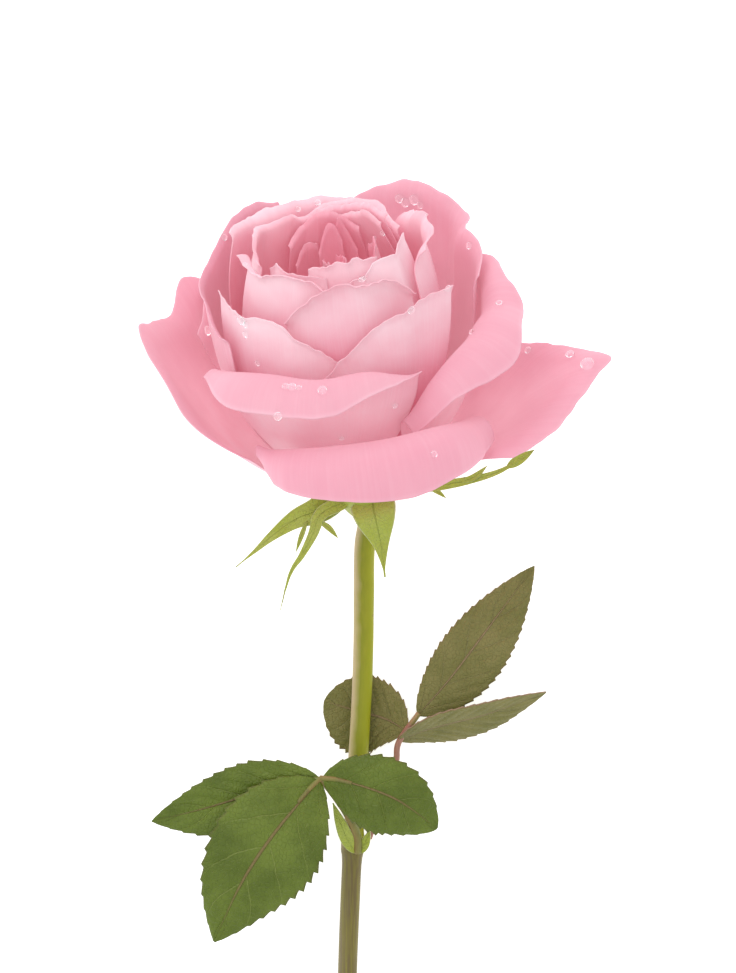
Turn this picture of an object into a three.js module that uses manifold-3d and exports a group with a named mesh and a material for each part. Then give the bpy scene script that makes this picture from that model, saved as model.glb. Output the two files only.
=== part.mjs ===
// A cut rose lying on its back petals and its stem's cut end.
// Millimetres, +Z up, the stem runs along -Y and the bloom looks along +Y and up.
import * as THREE from 'three';
import { mergeVertices } from 'three/addons/utils/BufferGeometryUtils.js';
import Module from 'manifold-3d';

const wasm = await Module();
wasm.setup();

// Where the petals' foot stands over the surface, and how the bloom is turned there.
const foot = new THREE.Vector3(-3.1, 43.65, 19);
const leanForward = 25; // the bloom's axis rises this much from the stem's line
const leanLeft = 7;
const photoScale = 0.24; // mm in one picture step at the petals' foot
const footStep = [362, 480]; // the petals' foot in the picture
const middleStep = [368, 486.5]; // the picture's middle
const eyeHeight = 778; // of the eye over the petals' foot

// A petal of opening q follows one curve from the foot; 0 is a closed bud and 1 lies flat.
const fold = {
  reach: 64, clawLean: 75, bellyLean: 52, topLean: 75, topTuck: 90,
  footIn: 1.5, footOut: 5, footRise: 7,
};
const petalThick = 0.6;
const petalGap = 1.2; // between the middles of two petals that lie on each other
const heartGap = 1.05;
const fine = 32; // settling steps each way over a petal
const coarse = 4; // settling steps in one facet

// The receptacle and the stem.
const stemRadius = 2.5;
const stemEndRadius = 2.3;
const nodeSwell = 0.5;
const cutSlant = 40; // of the cut end's face, from square
const bladeThick = 0.7;

const colors = {
  petal: 0xf4a9ba, heart: 0xee93a8, sepal: 0x9fb53c, stem: 0xa8a850,
  leafFront: 0x5e8a45, leafBack: 0x7f7f52,
};

const rad = THREE.MathUtils.degToRad;
const clamp = THREE.MathUtils.clamp;

// Tables of radius and height along the opening curves, for s = 0..84 mm and q = 0..1.5.
const steps = { s: 84, q: 75, perQ: 50 };

function openingCurves() {
  const radius = [];
  const height = [];
  for (let j = 0; j <= steps.q; j++) {
    const q = j / steps.perQ;
    const claw = fold.clawLean * (1 - (1 - Math.min(q, 1)) ** 3);
    const belly = fold.bellyLean * q * q;
    const top = fold.topLean * q ** 4 - fold.topTuck * q * (1 - q);
    const lean = (s) => {
      const t = Math.min(s / fold.reach, 1.12);
      return rad(claw * (1 - t) * (1 - 2 * t) + belly * 4 * t * (1 - t) + top * t * (2 * t - 1));
    };
    const r = [fold.footIn + fold.footOut * q];
    const h = [fold.footRise * (1 - q)];
    for (let i = 1; i <= steps.s; i++) {
      r.push(r[i - 1] + (Math.sin(lean(i)) + Math.sin(lean(i - 1))) / 2);
      h.push(h[i - 1] + (Math.cos(lean(i)) + Math.cos(lean(i - 1))) / 2);
    }
    radius.push(r);
    height.push(h);
  }
  return { radius, height };
}

const curves = openingCurves();

function readTable(table, s, q) {
  const x = clamp(s, 0, steps.s - 0.001);
  const y = clamp(q * steps.perQ, 0, steps.q - 0.001);
  const i = Math.floor(x);
  const j = Math.floor(y);
  const low = table[j][i] * (1 - x + i) + table[j][i + 1] * (x - i);
  const high = table[j + 1][i] * (1 - x + i) + table[j + 1][i + 1] * (x - i);
  return low * (1 - y + j) + high * (y - j);
}

// How far the curves move apart, in mm, for one step of opening.
function spread(s, q) {
  const dq = 0.01;
  const at = clamp(q, 0.05, 1.45);
  const dr = (readTable(curves.radius, s, at + dq) - readTable(curves.radius, s, at - dq)) / (2 * dq);
  const dh = (readTable(curves.height, s, at + dq) - readTable(curves.height, s, at - dq)) / (2 * dq);
  const tr = readTable(curves.radius, s + 0.5, at) - readTable(curves.radius, Math.max(s - 0.5, 0), at);
  const th = readTable(curves.height, s + 0.5, at) - readTable(curves.height, Math.max(s - 0.5, 0), at);
  const long = Math.hypot(tr, th);
  return Math.max((dr * th - dh * tr) / long, 3);
}

// A smooth line through values that stand evenly over u = -1..1; one number stays as it is.
function across(values, u) {
  if (typeof values === 'number') return values;
  const last = values.length - 1;
  const x = ((u + 1) / 2) * last;
  const i = Math.min(Math.floor(x), last - 1);
  const t = x - i;
  const a = values[Math.max(i - 1, 0)];
  const b = values[i];
  const c = values[i + 1];
  const d = values[Math.min(i + 2, last)];
  return b + 0.5 * t * (c - a + t * (2 * a - 5 * b + 4 * c - d + t * (3 * (b - c) + d - a)));
}

const petalBase = {
  at: 0, wide: 50, long: 60, crown: [0.75, 0.95, 1, 0.95, 0.75], open: 0.5, lip: 6, curl: 40,
  claw: 0.3, flare: 0.7, wave: 0.5, waves: 3, phase: 0, topIn: 0.15, start: 0,
};

// Angles round the bloom in degrees, 0 to the front and 90 to the right; lengths in mm.
// Lists give values at even places from a petal's left side to its right; start is how far up it begins.
const outerPetals = [
  { at: 77, wide: 46, long: 65.5, open: [1.1, 1.06, 1.01, 0.96, 0.91],
    crown: [0.71, 0.755, 0.785, 0.805, 0.82, 0.85, 0.89, 0.935, 0.985, 0.905, 0.845, 0.795, 0.76,
      0.73, 0.705, 0.68, 0.66], lip: 8, curl: 15, wave: 0.4, topIn: 0.3 },
  { at: -88, wide: 50, long: 64, open: [0.8, 0.82, 0.84, 0.88, 0.94],
    crown: [0.9, 0.955, 0.985, 0.93, 0.905, 0.915, 0.935, 0.96, 1, 0.955, 0.915, 0.88, 0.85, 0.825,
      0.79, 0.72, 0.62], lip: 6, curl: 15, wave: 0.4, phase: 1, topIn: 0.1 },
  { at: 4, wide: 50, long: 63, open: [0.88, 0.9, 0.9, 0.9, 0.88], crown: [0.68, 0.92, 1, 0.96, 0.78],
    lip: [7, 17, 22, 19, 13], curl: 115, wave: 0.3 },
  { at: 145, wide: 42, long: 63, open: [0.84, 0.9, 0.9, 0.82, 0.73], crown: [0.7, 0.93, 1, 0.93, 0.75],
    lip: [3, 7, 9, 7, 3], curl: [20, 45, 50, 40, 20], wave: 0.2, phase: 2 },
  { at: -148, wide: 44, long: 62, open: [0.72, 0.8, 0.88, 0.88, 0.84], crown: [0.75, 0.93, 1, 0.96, 0.8],
    lip: [3, 7, 9, 7, 3], curl: [20, 40, 50, 45, 20], wave: 0.2, phase: 3 },
  { at: 68, wide: 55, long: 66, open: [0.72, 0.72, 0.7, 0.7, 0.7],
    crown: [0.66, 0.86, 0.99, 1.01, 0.99, 0.98, 0.965, 0.94, 0.88], lip: [9, 19, 16, 9, 4],
    curl: [110, 100, 85, 60, 40], waves: 4 },
  { at: -17, wide: 55, long: 64.5, open: 0.7, crown: [0.83, 0.965, 0.965, 0.93, 0.76],
    lip: [6, 13, 14, 11, 4], curl: [100, 130, 130, 120, 60], wave: 0.3, flare: 1.2 },
  { at: -108, wide: 58, long: 72, open: 0.66, crown: [0.995, 1.02, 1, 0.955, 0.9, 0.87, 0.84, 0.81, 0.78],
    lip: 3 },
  { at: 128, wide: 54, long: 75, open: [0.74, 0.76, 0.76, 0.76, 0.73],
    crown: [0.8, 0.84, 0.88, 0.89, 0.91, 0.97, 0.99, 0.96, 0.91], lip: 5, wave: 0.8, phase: 1.5 },
  { at: -168, wide: 50, long: 68, open: 0.64, lip: 8, curl: 60 },
];

const cupPetals = [
  { at: 24, wide: 43, long: 67, open: [0.55, 0.56, 0.58, 0.6, 0.64],
    crown: [0.66, 0.72, 0.77, 0.82, 0.86, 0.875, 0.89, 0.91, 0.91], lip: 3, curl: 25, wave: 0.2,
    flare: 2.5 },
  { at: -33, wide: 50, long: 67, open: [0.62, 0.59, 0.57, 0.55, 0.54],
    crown: [0.94, 0.9, 0.885, 0.875, 0.86, 0.81, 0.73, 0.67, 0.63], lip: 3, curl: 25, wave: 0.2,
    flare: 1.3 },
  { at: -150, wide: 55, long: 71, open: [0.58, 0.58, 0.58, 0.58, 0.575],
    crown: [0.99, 1.01, 1.01, 1.01, 1.01], lip: [4, 5, 6, 5, 3], curl: [60, 60, 60, 50, 40], flare: 1 },
  { at: 98, wide: 50, long: 71, open: [0.47, 0.49, 0.5, 0.5, 0.48], crown: [0.93, 0.98, 1, 0.985, 0.96],
    lip: 9, curl: 40, topIn: 0.4, flare: 1 },
  { at: 165, wide: 50, long: 71, open: 0.52, lip: 6, curl: 60, wave: 0.8,
    crown: [0.9, 0.97, 1, 0.97, 0.9] },
];

const heartPetals = [
  { at: 8, wide: 50, long: 67, open: 0.46,
    crown: [0.83, 0.89, 0.93, 0.945, 0.955, 0.95, 0.94, 0.91, 0.85], lip: 5, curl: 50, wave: 0.1 },
  { at: -37, wide: 53, long: 70, open: [0.49, 0.44, 0.41, 0.38, 0.37],
    crown: [0.99, 0.93, 0.91, 0.91, 0.91, 0.89, 0.86, 0.83, 0.8], lip: [6, 4, 4, 4, 4],
    curl: [65, 50, 50, 50, 50], wave: 0.2 },
  { at: 40, wide: 36, long: 70, open: [0.38, 0.39, 0.41, 0.44, 0.52],
    crown: [0.81, 0.84, 0.87, 0.89, 0.905, 0.92, 0.93, 0.94, 0.96], lip: 3, curl: 25, wave: 0.2 },
  { at: 168, wide: 55, long: 70, open: 0.43, crown: [0.95, 0.98, 0.98, 0.96, 0.93], lip: 4, curl: 50,
    wave: 0.5 },
  { at: -128, wide: 60, long: 70, open: [0.42, 0.43, 0.45, 0.47, 0.48],
    crown: [0.9, 0.95, 0.98, 0.99, 0.9], lip: 4, curl: 50, wave: 0.5 },
  { at: -42, wide: 38, long: 64, open: 0.36, crown: [0.93, 0.975, 0.955, 0.93, 0.9], lip: 2, curl: 30,
    wave: 0.2 },
  { at: 6, wide: 42, long: 64, open: 0.33, crown: [0.915, 0.94, 0.945, 0.955, 0.96], lip: 2, curl: 30,
    wave: 0.2 },
  { at: 155, wide: 42, long: 66, open: [0.4, 0.37, 0.35, 0.34, 0.33],
    crown: [0.955, 0.99, 0.985, 0.97, 0.94], lip: 3, curl: 40, wave: 0.2 },
  { at: -172, wide: 46, long: 65, open: 0.3, crown: [0.92, 0.97, 0.985, 0.97, 0.9], lip: 3, curl: 40,
    wave: 0.2 },
  { at: -152, wide: 21, long: 57, open: 0.24, crown: [0.88, 0.96, 0.98, 0.965, 0.9], lip: 2, curl: 30,
    wave: 0 },
  { at: 166, wide: 20, long: 62, open: 0.19, crown: [0.84, 0.92, 0.98, 0.92, 0.84], lip: 2, curl: 20,
    wave: 0, start: 9 },
  { at: 95, wide: 40, long: 60, open: 0.2, crown: [0.9, 0.95, 0.97, 0.95, 0.9], lip: 2, curl: 30,
    wave: 0.2 },
  { at: -176, wide: 24, long: 60, open: 0.14, crown: [0.9, 0.97, 0.98, 0.94, 0.86], lip: 2, curl: 30,
    wave: 0, start: 9 },
  { at: 30, wide: 166, long: 51, open: 0.02, crown: 0.98, lip: 1, curl: 20, claw: 0.8, wave: 0.1 },
];

// The room left for the next petal: the least opening taken so far, by angle and by place along it.
const roomCells = { turn: 120, along: 43 };
const room = Array.from({ length: roomCells.turn }, () => new Array(roomCells.along).fill(1.45));

function roomCell(phi, s) {
  const i = ((Math.round((phi / 360) * roomCells.turn) % roomCells.turn) + roomCells.turn) % roomCells.turn;
  return [i, clamp(Math.round(s / 2), 0, roomCells.along - 1)];
}

// The highest or mean value in a window of each cell's neighbours, over rows and then columns.
function slide(grid, reach, pick) {
  const n = grid.length;
  const pass = (read) => Array.from({ length: n }, (_, i) => Array.from({ length: n }, (_, j) => {
    const seen = [];
    for (let k = -reach; k <= reach; k++) seen.push(read(i, j, k));
    return pick(seen);
  }));
  const first = pass((i, j, k) => grid[clamp(i + k, 0, n - 1)][j]);
  grid.forEach((row, i) => row.forEach((_, j) => { row[j] = first[i][j]; }));
  return pass((i, j, k) => grid[i][clamp(j + k, 0, n - 1)]);
}

const highest = (list) => Math.max(...list);
const mean = (list) => list.reduce((a, b) => a + b, 0) / list.length;

// Along each petal: its angle, its place on the opening curves and its opening, before it settles.
function petalForm(given) {
  const p = { ...petalBase, ...given };
  const places = [-1, -0.75, -0.5, -0.25, 0, 0.25, 0.5, 0.75, 1];
  const steady = mean(places.map((u) => across(p.open, u)));
  return Array.from({ length: fine + 1 }, (_, row) => Array.from({ length: fine + 1 }, (_, col) => {
    const u = (2 * col) / fine - 1;
    const v = row / fine;
    const half = p.wide * (p.claw + (1 - p.claw) * v ** p.flare)
      * (1 - p.topIn * Math.max((v - 0.6) / 0.4, 0) ** 2);
    const arc = p.start + (p.long * across(p.crown, u) - p.start) * v;
    const lip = across(p.lip, u);
    const body = p.long * across(p.crown, u) - lip;
    const bend = lip / rad(across(p.curl, u));
    const over = Math.max(arc - body, 0) / bend;
    const s = Math.min(arc, body) + bend * Math.sin(over);
    const push = bend * (1 - Math.cos(over)) + p.wave * Math.sin(p.waves * Math.PI * u + p.phase) * v ** 4;
    const q = steady + (across(p.open, u) - steady) * Math.min(v / 0.5, 1) ** 1.5;
    return { phi: p.at + half * u, s, q: q + push / spread(s, q) };
  }));
}

// Each petal gives way to those outside it, so that none cuts through another.
function settle(form, gap) {
  const over = form.map((row) => row.map(({ phi, s, q }) => {
    const [i, j] = roomCell(phi, s);
    return Math.max(q - room[i][j] + gap / spread(s, q), 0);
  }));
  const eased = slide(slide(over, 2, highest), 2, mean);
  const taken = form.map((row, i) => row.map((point, j) => {
    point.q = Math.max(point.q - eased[i][j], 0);
    return [roomCell(point.phi, point.s), point.q];
  }));
  for (const [[i, j], q] of taken.flat()) {
    for (let di = -1; di <= 1; di++) {
      for (let dj = -1; dj <= 1; dj++) {
        const a = (i + di + roomCells.turn) % roomCells.turn;
        const b = clamp(j + dj, 0, roomCells.along - 1);
        room[a][b] = Math.min(room[a][b], q);
      }
    }
  }
  return form;
}

// From the bloom's own frame (right, front, up along its axis) to the surface's frame.
function inBloom(right, front, up) {
  const e = rad(leanForward);
  const d = rad(leanLeft);
  const y = up * Math.cos(e) - front * Math.sin(e);
  const z = up * Math.sin(e) + front * Math.cos(e);
  const turned = [right * Math.cos(d) - y * Math.sin(d), right * Math.sin(d) + y * Math.cos(d), z];
  return new THREE.Vector3(...turned).add(foot);
}

// From the picture's steps and a height over the surface to the surface's frame.
function inPicture([right, down], height) {
  const scale = photoScale * (1 - (height - foot.z) / eyeHeight);
  const x = foot.x + (middleStep[0] - footStep[0]) * photoScale + (right - middleStep[0]) * scale;
  const y = foot.y + (footStep[1] - middleStep[1]) * photoScale + (middleStep[1] - down) * scale;
  return new THREE.Vector3(x, y, height);
}

// A closed sheet of even thickness over a grid of points, with its faces split alike on both sides.
function sheet(points, thick, floor = -Infinity) {
  const rows = points.length;
  const cols = points[0].length;
  const vertices = [[], []];
  for (let i = 0; i < rows; i++) {
    for (let j = 0; j < cols; j++) {
      const p = points[i][j];
      const alongU = points[i][Math.min(j + 1, cols - 1)].clone().sub(points[i][Math.max(j - 1, 0)]);
      const alongV = points[Math.min(i + 1, rows - 1)][j].clone().sub(points[Math.max(i - 1, 0)][j]);
      const n = alongU.cross(alongV).normalize().multiplyScalar(thick / 2);
      const sides = [p.clone().add(n), p.clone().sub(n)];
      const low = sides[0].z < sides[1].z ? 0 : 1;
      if (sides[low].z < floor) {
        sides[low].set(p.x, p.y, floor);
        sides[1 - low].set(p.x, p.y, floor + thick);
      }
      vertices[0].push(sides[0]);
      vertices[1].push(sides[1]);
    }
  }
  const at = (side, i, j) => side * rows * cols + i * cols + j;
  const faces = [];
  const quad = (a, b, c, d) => faces.push(a, b, c, a, c, d);
  for (let i = 0; i < rows - 1; i++) {
    for (let j = 0; j < cols - 1; j++) {
      quad(at(0, i, j), at(0, i, j + 1), at(0, i + 1, j + 1), at(0, i + 1, j));
      const [a, b, c, d] = [at(1, i, j), at(1, i, j + 1), at(1, i + 1, j + 1), at(1, i + 1, j)];
      faces.push(a, c, b, a, d, c);
    }
  }
  const rim = [];
  for (let j = 0; j < cols - 1; j++) rim.push([0, j]);
  for (let i = 0; i < rows - 1; i++) rim.push([i, cols - 1]);
  for (let j = cols - 1; j > 0; j--) rim.push([rows - 1, j]);
  for (let i = rows - 1; i > 0; i--) rim.push([i, 0]);
  rim.forEach(([i, j], k) => {
    const [m, n] = rim[(k + 1) % rim.length];
    quad(at(0, m, n), at(0, i, j), at(1, i, j), at(1, m, n));
  });
  const geometry = new THREE.BufferGeometry();
  const flat = vertices.flat().flatMap((p) => [p.x, p.y, p.z]);
  geometry.setAttribute('position', new THREE.Float32BufferAttribute(flat, 3));
  geometry.setIndex(faces);
  return geometry;
}

function petal(given, gap) {
  const form = settle(petalForm(given), gap);
  const points = [];
  for (let i = 0; i <= fine; i += coarse) {
    const row = [];
    for (let j = 0; j <= fine; j += coarse) {
      const { phi, s, q } = form[i][j];
      const r = readTable(curves.radius, s, q);
      row.push(inBloom(r * Math.sin(rad(phi)), r * Math.cos(rad(phi)), readTable(curves.height, s, q)));
    }
    points.push(row);
  }
  return sheet(points, petalThick, 0);
}

function toSolid(geometry) {
  const bare = geometry.clone();
  bare.deleteAttribute('normal');
  bare.deleteAttribute('uv');
  const merged = mergeVertices(bare, 1e-4);
  return new wasm.Manifold(new wasm.Mesh({
    numProp: 3,
    vertProperties: new Float32Array(merged.attributes.position.array),
    triVerts: new Uint32Array(merged.index.array),
  }));
}

function fromSolid(solid) {
  const mesh = solid.getMesh();
  const geometry = new THREE.BufferGeometry();
  geometry.setAttribute('position', new THREE.Float32BufferAttribute(mesh.vertProperties, 3));
  geometry.setIndex([...mesh.triVerts]);
  return geometry;
}

const fuse = (geometries) => fromSolid(geometries.map(toSolid).reduce((a, b) => a.add(b)));

// A turned rod along +Y whose profile closes on its axis, bent so that its axis follows a curve.
function rod(curve, radiusAt, rows, sides) {
  const profile = [new THREE.Vector2(0, 0)];
  for (let i = 0; i <= rows; i++) profile.push(new THREE.Vector2(radiusAt(i / rows), i / rows));
  profile.push(new THREE.Vector2(0, 1));
  const geometry = new THREE.LatheGeometry(profile, sides, Math.PI / sides);
  const position = geometry.attributes.position;
  for (let i = 0; i < position.count; i++) {
    const at = clamp(position.getY(i), 0, 1);
    const tangent = curve.getTangentAt(at);
    const lift = new THREE.Vector3(0, 0, 1);
    const side = new THREE.Vector3().crossVectors(tangent, lift).normalize();
    lift.crossVectors(side, tangent);
    const p = curve.getPointAt(at).addScaledVector(side, position.getX(i))
      .addScaledVector(lift, position.getZ(i));
    position.setXYZ(i, p.x, p.y, Math.max(p.z, 0));
  }
  geometry.deleteAttribute('normal');
  geometry.deleteAttribute('uv');
  return mergeVertices(geometry, 1e-4);
}

// A leaflet or sepal: a midrib curve with a width on each side, toothed edges and a fold along the rib.
function blade(given) {
  const b = { wide: 8, from: 0.8, sharp: 0.85, roll: 0, fold: 0.15, sag: 0, teeth: 0, tooth: 0.1, rows: 16,
    side: [1, 1], wave: 0, tail: 0.04, ...given };
  const curve = new THREE.CatmullRomCurve3(b.path);
  const points = [];
  for (let i = 0; i <= b.rows; i++) {
    const v = i / b.rows;
    const tangent = curve.getTangentAt(v);
    const lift = new THREE.Vector3(0, 0, 1).applyAxisAngle(tangent, rad(b.roll));
    const side = new THREE.Vector3().crossVectors(tangent, lift).normalize();
    lift.crossVectors(side, tangent);
    const swell = Math.sin(Math.PI * clamp(v, 0, 1) ** b.from) ** b.sharp;
    const notch = b.teeth ? 1 - b.tooth * (i % 2) : 1;
    const row = [];
    for (const u of [-1, -0.5, 0, 0.5, 1]) {
      const out = Math.abs(u) === 1 ? notch : 1;
      const w = b.wide * Math.max(swell, b.tail) * out * (u < 0 ? b.side[0] : b.side[1]);
      const bend = (b.fold * Math.abs(u) - b.sag * u * u) * w;
      const rise = bend + b.wave * Math.abs(u) * Math.sin(9 * v + 2 * u);
      row.push(curve.getPointAt(v).addScaledVector(side, u * w).addScaledVector(lift, rise));
    }
    points.push(row);
  }
  return sheet(points, bladeThick, 0);
}

// The receptacle turns about the bloom's axis; each sepal grows out of it at an angle of its own.
const hipProfile = [
  [0, 5.6], [1.4, 5.4], [6.7, -1.5], [6.9, -2.3], [6.4, -4], [5, -6.6], [3.3, -9], [2.6, -10.6], [0, -10.6],
];

function hip() {
  const profile = hipProfile.map(([r, h]) => new THREE.Vector2(r, h)).reverse();
  const geometry = new THREE.LatheGeometry(profile, 20);
  const position = geometry.attributes.position;
  for (let i = 0; i < position.count; i++) {
    const p = inBloom(position.getX(i), position.getZ(i), position.getY(i));
    position.setXYZ(i, p.x, p.y, p.z);
  }
  return geometry;
}

const sepalRoot = (turn) => inBloom(5.6 * Math.sin(rad(turn)), 5.6 * Math.cos(rad(turn)), -3.2);

// Sepals and their side lobes: root angle, then picture steps with heights over the petals' foot.
const sepals = [
  { turn: -100, to: [[318, 510, -0.4], [296, 519, -1], [272, 536, -1.6], [255, 551, -0.8], [236, 567, 1.4]],
    wide: 3.5 },
  { turn: -45, to: [[321, 514, 2.8], [313, 534, 2.2], [302, 555, 1.2], [291, 572, 0.6], [280, 611, -0.5]],
    wide: 1.7 },
  { turn: 18, to: [[375, 516, 5.9], [381, 545, 2.4], [385, 577, 1.4]], wide: 5.4 },
  { turn: 84, to: [[436, 486, 1.4], [470, 480, 1.8], [500, 471, 3.2], [533, 451, 6.4]], wide: 1.25,
    from: 0.5, sharp: 0.9 },
  { turn: 172, to: [[370, 530, -9.6], [366, 552, -12.8], [363, 575, -14.6]], wide: 3.6 },
];
const sepalLobes = [
  { path: [[307, 521, 0], [301, 537, 0.4], [296, 552, 0.8]], wide: 0.6 },
  { path: [[319, 521, 2.6], [329, 528, 2.9], [338, 538, 3.2]], wide: 0.7 },
  { path: [[460, 482, 1.7], [474, 477, 2.4], [487, 466, 3.2]], wide: 0.8 },
  { path: [[428, 487, 1.4], [438, 492, 1.6], [446, 498, 2]], wide: 0.6 },
  { path: [[506, 468, 3.6], [520, 459, 5], [534, 450, 6.5]], wide: 1.2 },
];

function calyx() {
  const place = (path) => path.map(([x, y, z]) => inPicture([x, y], foot.z + z));
  const pieces = [hip()];
  for (const { turn, to, ...rest } of sepals) {
    const path = [sepalRoot(turn), ...place(to)];
    pieces.push(blade({ from: 0.33, sharp: 1.3, fold: 0.12, rows: 10, tail: 0.12, ...rest, path }));
  }
  for (const { path, wide } of sepalLobes) {
    pieces.push(blade({ path: place(path), wide, rows: 4, tail: 0.5 }));
  }
  return fuse(pieces);
}

// The stem's axis, from under the receptacle down to the cut end: picture steps and heights.
const stemSteps = [
  [365, 542, 12.1], [364, 568, 10.4], [363.5, 640, 7.4], [361.5, 700, 5.9], [355.5, 800, 4.2],
  [352, 860, 3.5], [347.5, 973, 2.5], [345, 1133, 2.12],
];
const stemCurve = new THREE.CatmullRomCurve3([
  inBloom(0, 0, -10.95), inBloom(0, 0, -12.2), ...stemSteps.map(([x, y, z]) => inPicture([x, y], z)),
]);

function stem() {
  const nodeAt = 0.53;
  const radiusAt = (t) => THREE.MathUtils.lerp(stemRadius, stemEndRadius, t)
    + nodeSwell * Math.exp(-(((t - nodeAt) / 0.02) ** 2));
  const end = inPicture(stemSteps.at(-1), 0);
  const slant = new THREE.Vector3(0, Math.cos(rad(cutSlant)), -Math.sin(rad(cutSlant)));
  return fromSolid(toSolid(rod(stemCurve, radiusAt, 36, 12)).trimByPlane(slant.toArray(), end.dot(slant)));
}

// Compound leaves: stalks, leaflets and stipules, by picture steps and heights over the surface.
const frontLeaf = {
  stalks: [
    { path: [[358, 852, 7.7], [357, 836, 9.8], [346, 812, 13], [321, 778, 17]], radius: [1.1, 0.8] },
    { path: [[322, 779, 17], [300, 781, 16.8], [280, 784, 16.5]], radius: [0.7, 0.5] },
    { path: [[320, 778, 17], [308, 790, 17.8], [298, 802, 18.3]], radius: [0.7, 0.5] },
    { path: [[320, 778, 17], [335, 779, 18], [352, 783, 19]], radius: [0.7, 0.5] },
  ],
  leaflets: [
    { path: [[319, 778, 17], [266, 790, 16.4], [205, 808, 14], [152, 821, 11]], wide: 9,
      side: [1.05, 0.92], teeth: 1, rows: 20, fold: 0.16, sag: 0.1 },
    { path: [[319, 780, 17.2], [275, 832, 18.8], [243, 880, 17], [214, 941, 12.5]], wide: 13.2,
      side: [1.09, 1.02], teeth: 1, rows: 22, fold: 0.14, sag: 0.12, wave: 0.4 },
    { path: [[323, 778, 17.2], [352, 783, 19], [396, 799, 20], [437, 828, 17]], wide: 9.6,
      side: [0.95, 1.08], teeth: 1, rows: 16, fold: 0.12, sag: 0.16, from: 0.95, sharp: 0.7 },
  ],
  stipules: [
    { path: [[357, 853, 7.8], [349, 842, 9.6], [341, 824, 11.8], [333, 803, 13.6]], wide: 1.7 },
    { path: [[359, 853, 7.8], [364, 845, 8.6], [370, 830, 10]], wide: 1.2 },
  ],
};

const backLeaf = {
  stalks: [
    { path: [[368.5, 838, 3.8], [382, 800, 4.4], [396, 762, 5.2], [398, 744, 5.8], [419, 713, 6.6]],
      radius: [0.9, 0.7] },
  ],
  leaflets: [
    { path: [[418, 715, 6.6], [447, 682, 7.4], [488, 628, 8], [534, 566, 5.4]], wide: 8.4, side: [0.9, 1.1],
      teeth: 1, rows: 20, fold: 0.1, sag: 0.1 },
    { path: [[398, 740, 5.8], [430, 728, 7.6], [488, 713, 9], [546, 692, 8.4]], wide: 8.2, side: [0.8, 0.9],
      roll: 52, teeth: 1, rows: 18, fold: 0.1 },
    { path: [[407, 731, 5.4], [386, 719, 2.6], [358, 711, 1.5], [324, 701, 2.2]], wide: 10.4,
      side: [1.05, 0.95], teeth: 1, rows: 16, fold: 0.02, from: 1.15, sharp: 0.6 },
  ],
  stipules: [],
};

function leaf({ stalks, leaflets, stipules }) {
  const place = (path) => path.map(([x, y, z]) => inPicture([x, y], z));
  return fuse([
    ...stalks.map(({ path, radius: [first, last] }) => rod(new THREE.CatmullRomCurve3(place(path)),
      (t) => THREE.MathUtils.lerp(first, last, t), 6, 8)),
    ...leaflets.map((given) => blade({ ...given, path: place(given.path) })),
    ...stipules.map((given) => blade({ ...given, path: place(given.path), rows: 8, from: 0.7, tail: 0.2 })),
  ]);
}

const rose = new THREE.Group();

function add(name, geometry, color, roughness) {
  const mesh = new THREE.Mesh(geometry, new THREE.MeshStandardMaterial({ color, roughness, metalness: 0 }));
  mesh.name = name;
  rose.add(mesh);
}

outerPetals.forEach((given, k) => add(`outer_petal_${k + 1}`, petal(given, petalGap), colors.petal, 0.55));
cupPetals.forEach((given, k) => add(`cup_petal_${k + 1}`, petal(given, petalGap), colors.petal, 0.55));
heartPetals.forEach((given, k) => add(`heart_petal_${k + 1}`, petal(given, heartGap), colors.heart, 0.55));
add('calyx', calyx(), colors.sepal, 0.6);
add('stem', stem(), colors.stem, 0.5);
add('leaf_front', leaf(frontLeaf), colors.leafFront, 0.5);
add('leaf_back', leaf(backLeaf), colors.leafBack, 0.6);

export default rose;
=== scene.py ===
from functools import partial
import bpy
import numpy as np
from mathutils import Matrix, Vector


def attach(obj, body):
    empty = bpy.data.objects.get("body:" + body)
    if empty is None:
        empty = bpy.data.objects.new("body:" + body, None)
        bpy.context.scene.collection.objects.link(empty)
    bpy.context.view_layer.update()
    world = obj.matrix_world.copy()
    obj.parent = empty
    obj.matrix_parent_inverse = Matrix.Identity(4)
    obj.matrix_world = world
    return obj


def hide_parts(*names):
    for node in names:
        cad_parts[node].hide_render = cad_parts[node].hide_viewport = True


# A cut rose lying on its back petals. Lengths are mm until a piece is made, and metres after that.
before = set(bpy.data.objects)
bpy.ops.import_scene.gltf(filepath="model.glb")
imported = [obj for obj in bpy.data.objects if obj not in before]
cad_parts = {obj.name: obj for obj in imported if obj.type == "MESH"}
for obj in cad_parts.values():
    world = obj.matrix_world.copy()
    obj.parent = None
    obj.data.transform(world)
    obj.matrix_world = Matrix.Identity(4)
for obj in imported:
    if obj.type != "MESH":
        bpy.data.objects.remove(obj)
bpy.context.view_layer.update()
degree = np.pi / 180
print("frame loaded:", len(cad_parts), "nodes")

# Where the petals' foot stands over the surface, how the bloom is turned there, and how picture steps turn to mm.
placing = {"foot": (-3.1, 43.65, 19.0), "leanForward": 25, "leanLeft": 7, "step": 0.24,
           "footStep": (362, 480), "middleStep": (368, 486.5), "eyeHeight": 778}
footX, footY, footZ = placing["foot"]
middleX = footX + (placing["middleStep"][0] - placing["footStep"][0]) * placing["step"]
middleY = footY + (placing["footStep"][1] - placing["middleStep"][1]) * placing["step"]


def inBloom(right, front, up):
    # (right, front, up the bloom's axis), leaned forward, then left, then moved to the foot
    e, d = placing["leanForward"] * degree, placing["leanLeft"] * degree
    y = up * np.cos(e) - front * np.sin(e)
    z = up * np.sin(e) + front * np.cos(e)
    turned = [right * np.cos(d) - y * np.sin(d), right * np.sin(d) + y * np.cos(d), z]
    return np.stack(turned, -1) + placing["foot"]


def stepMm(height):
    # mm to one picture step, wider for what lies lower
    return placing["step"] * (1 - (height - footZ) / placing["eyeHeight"])


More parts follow.
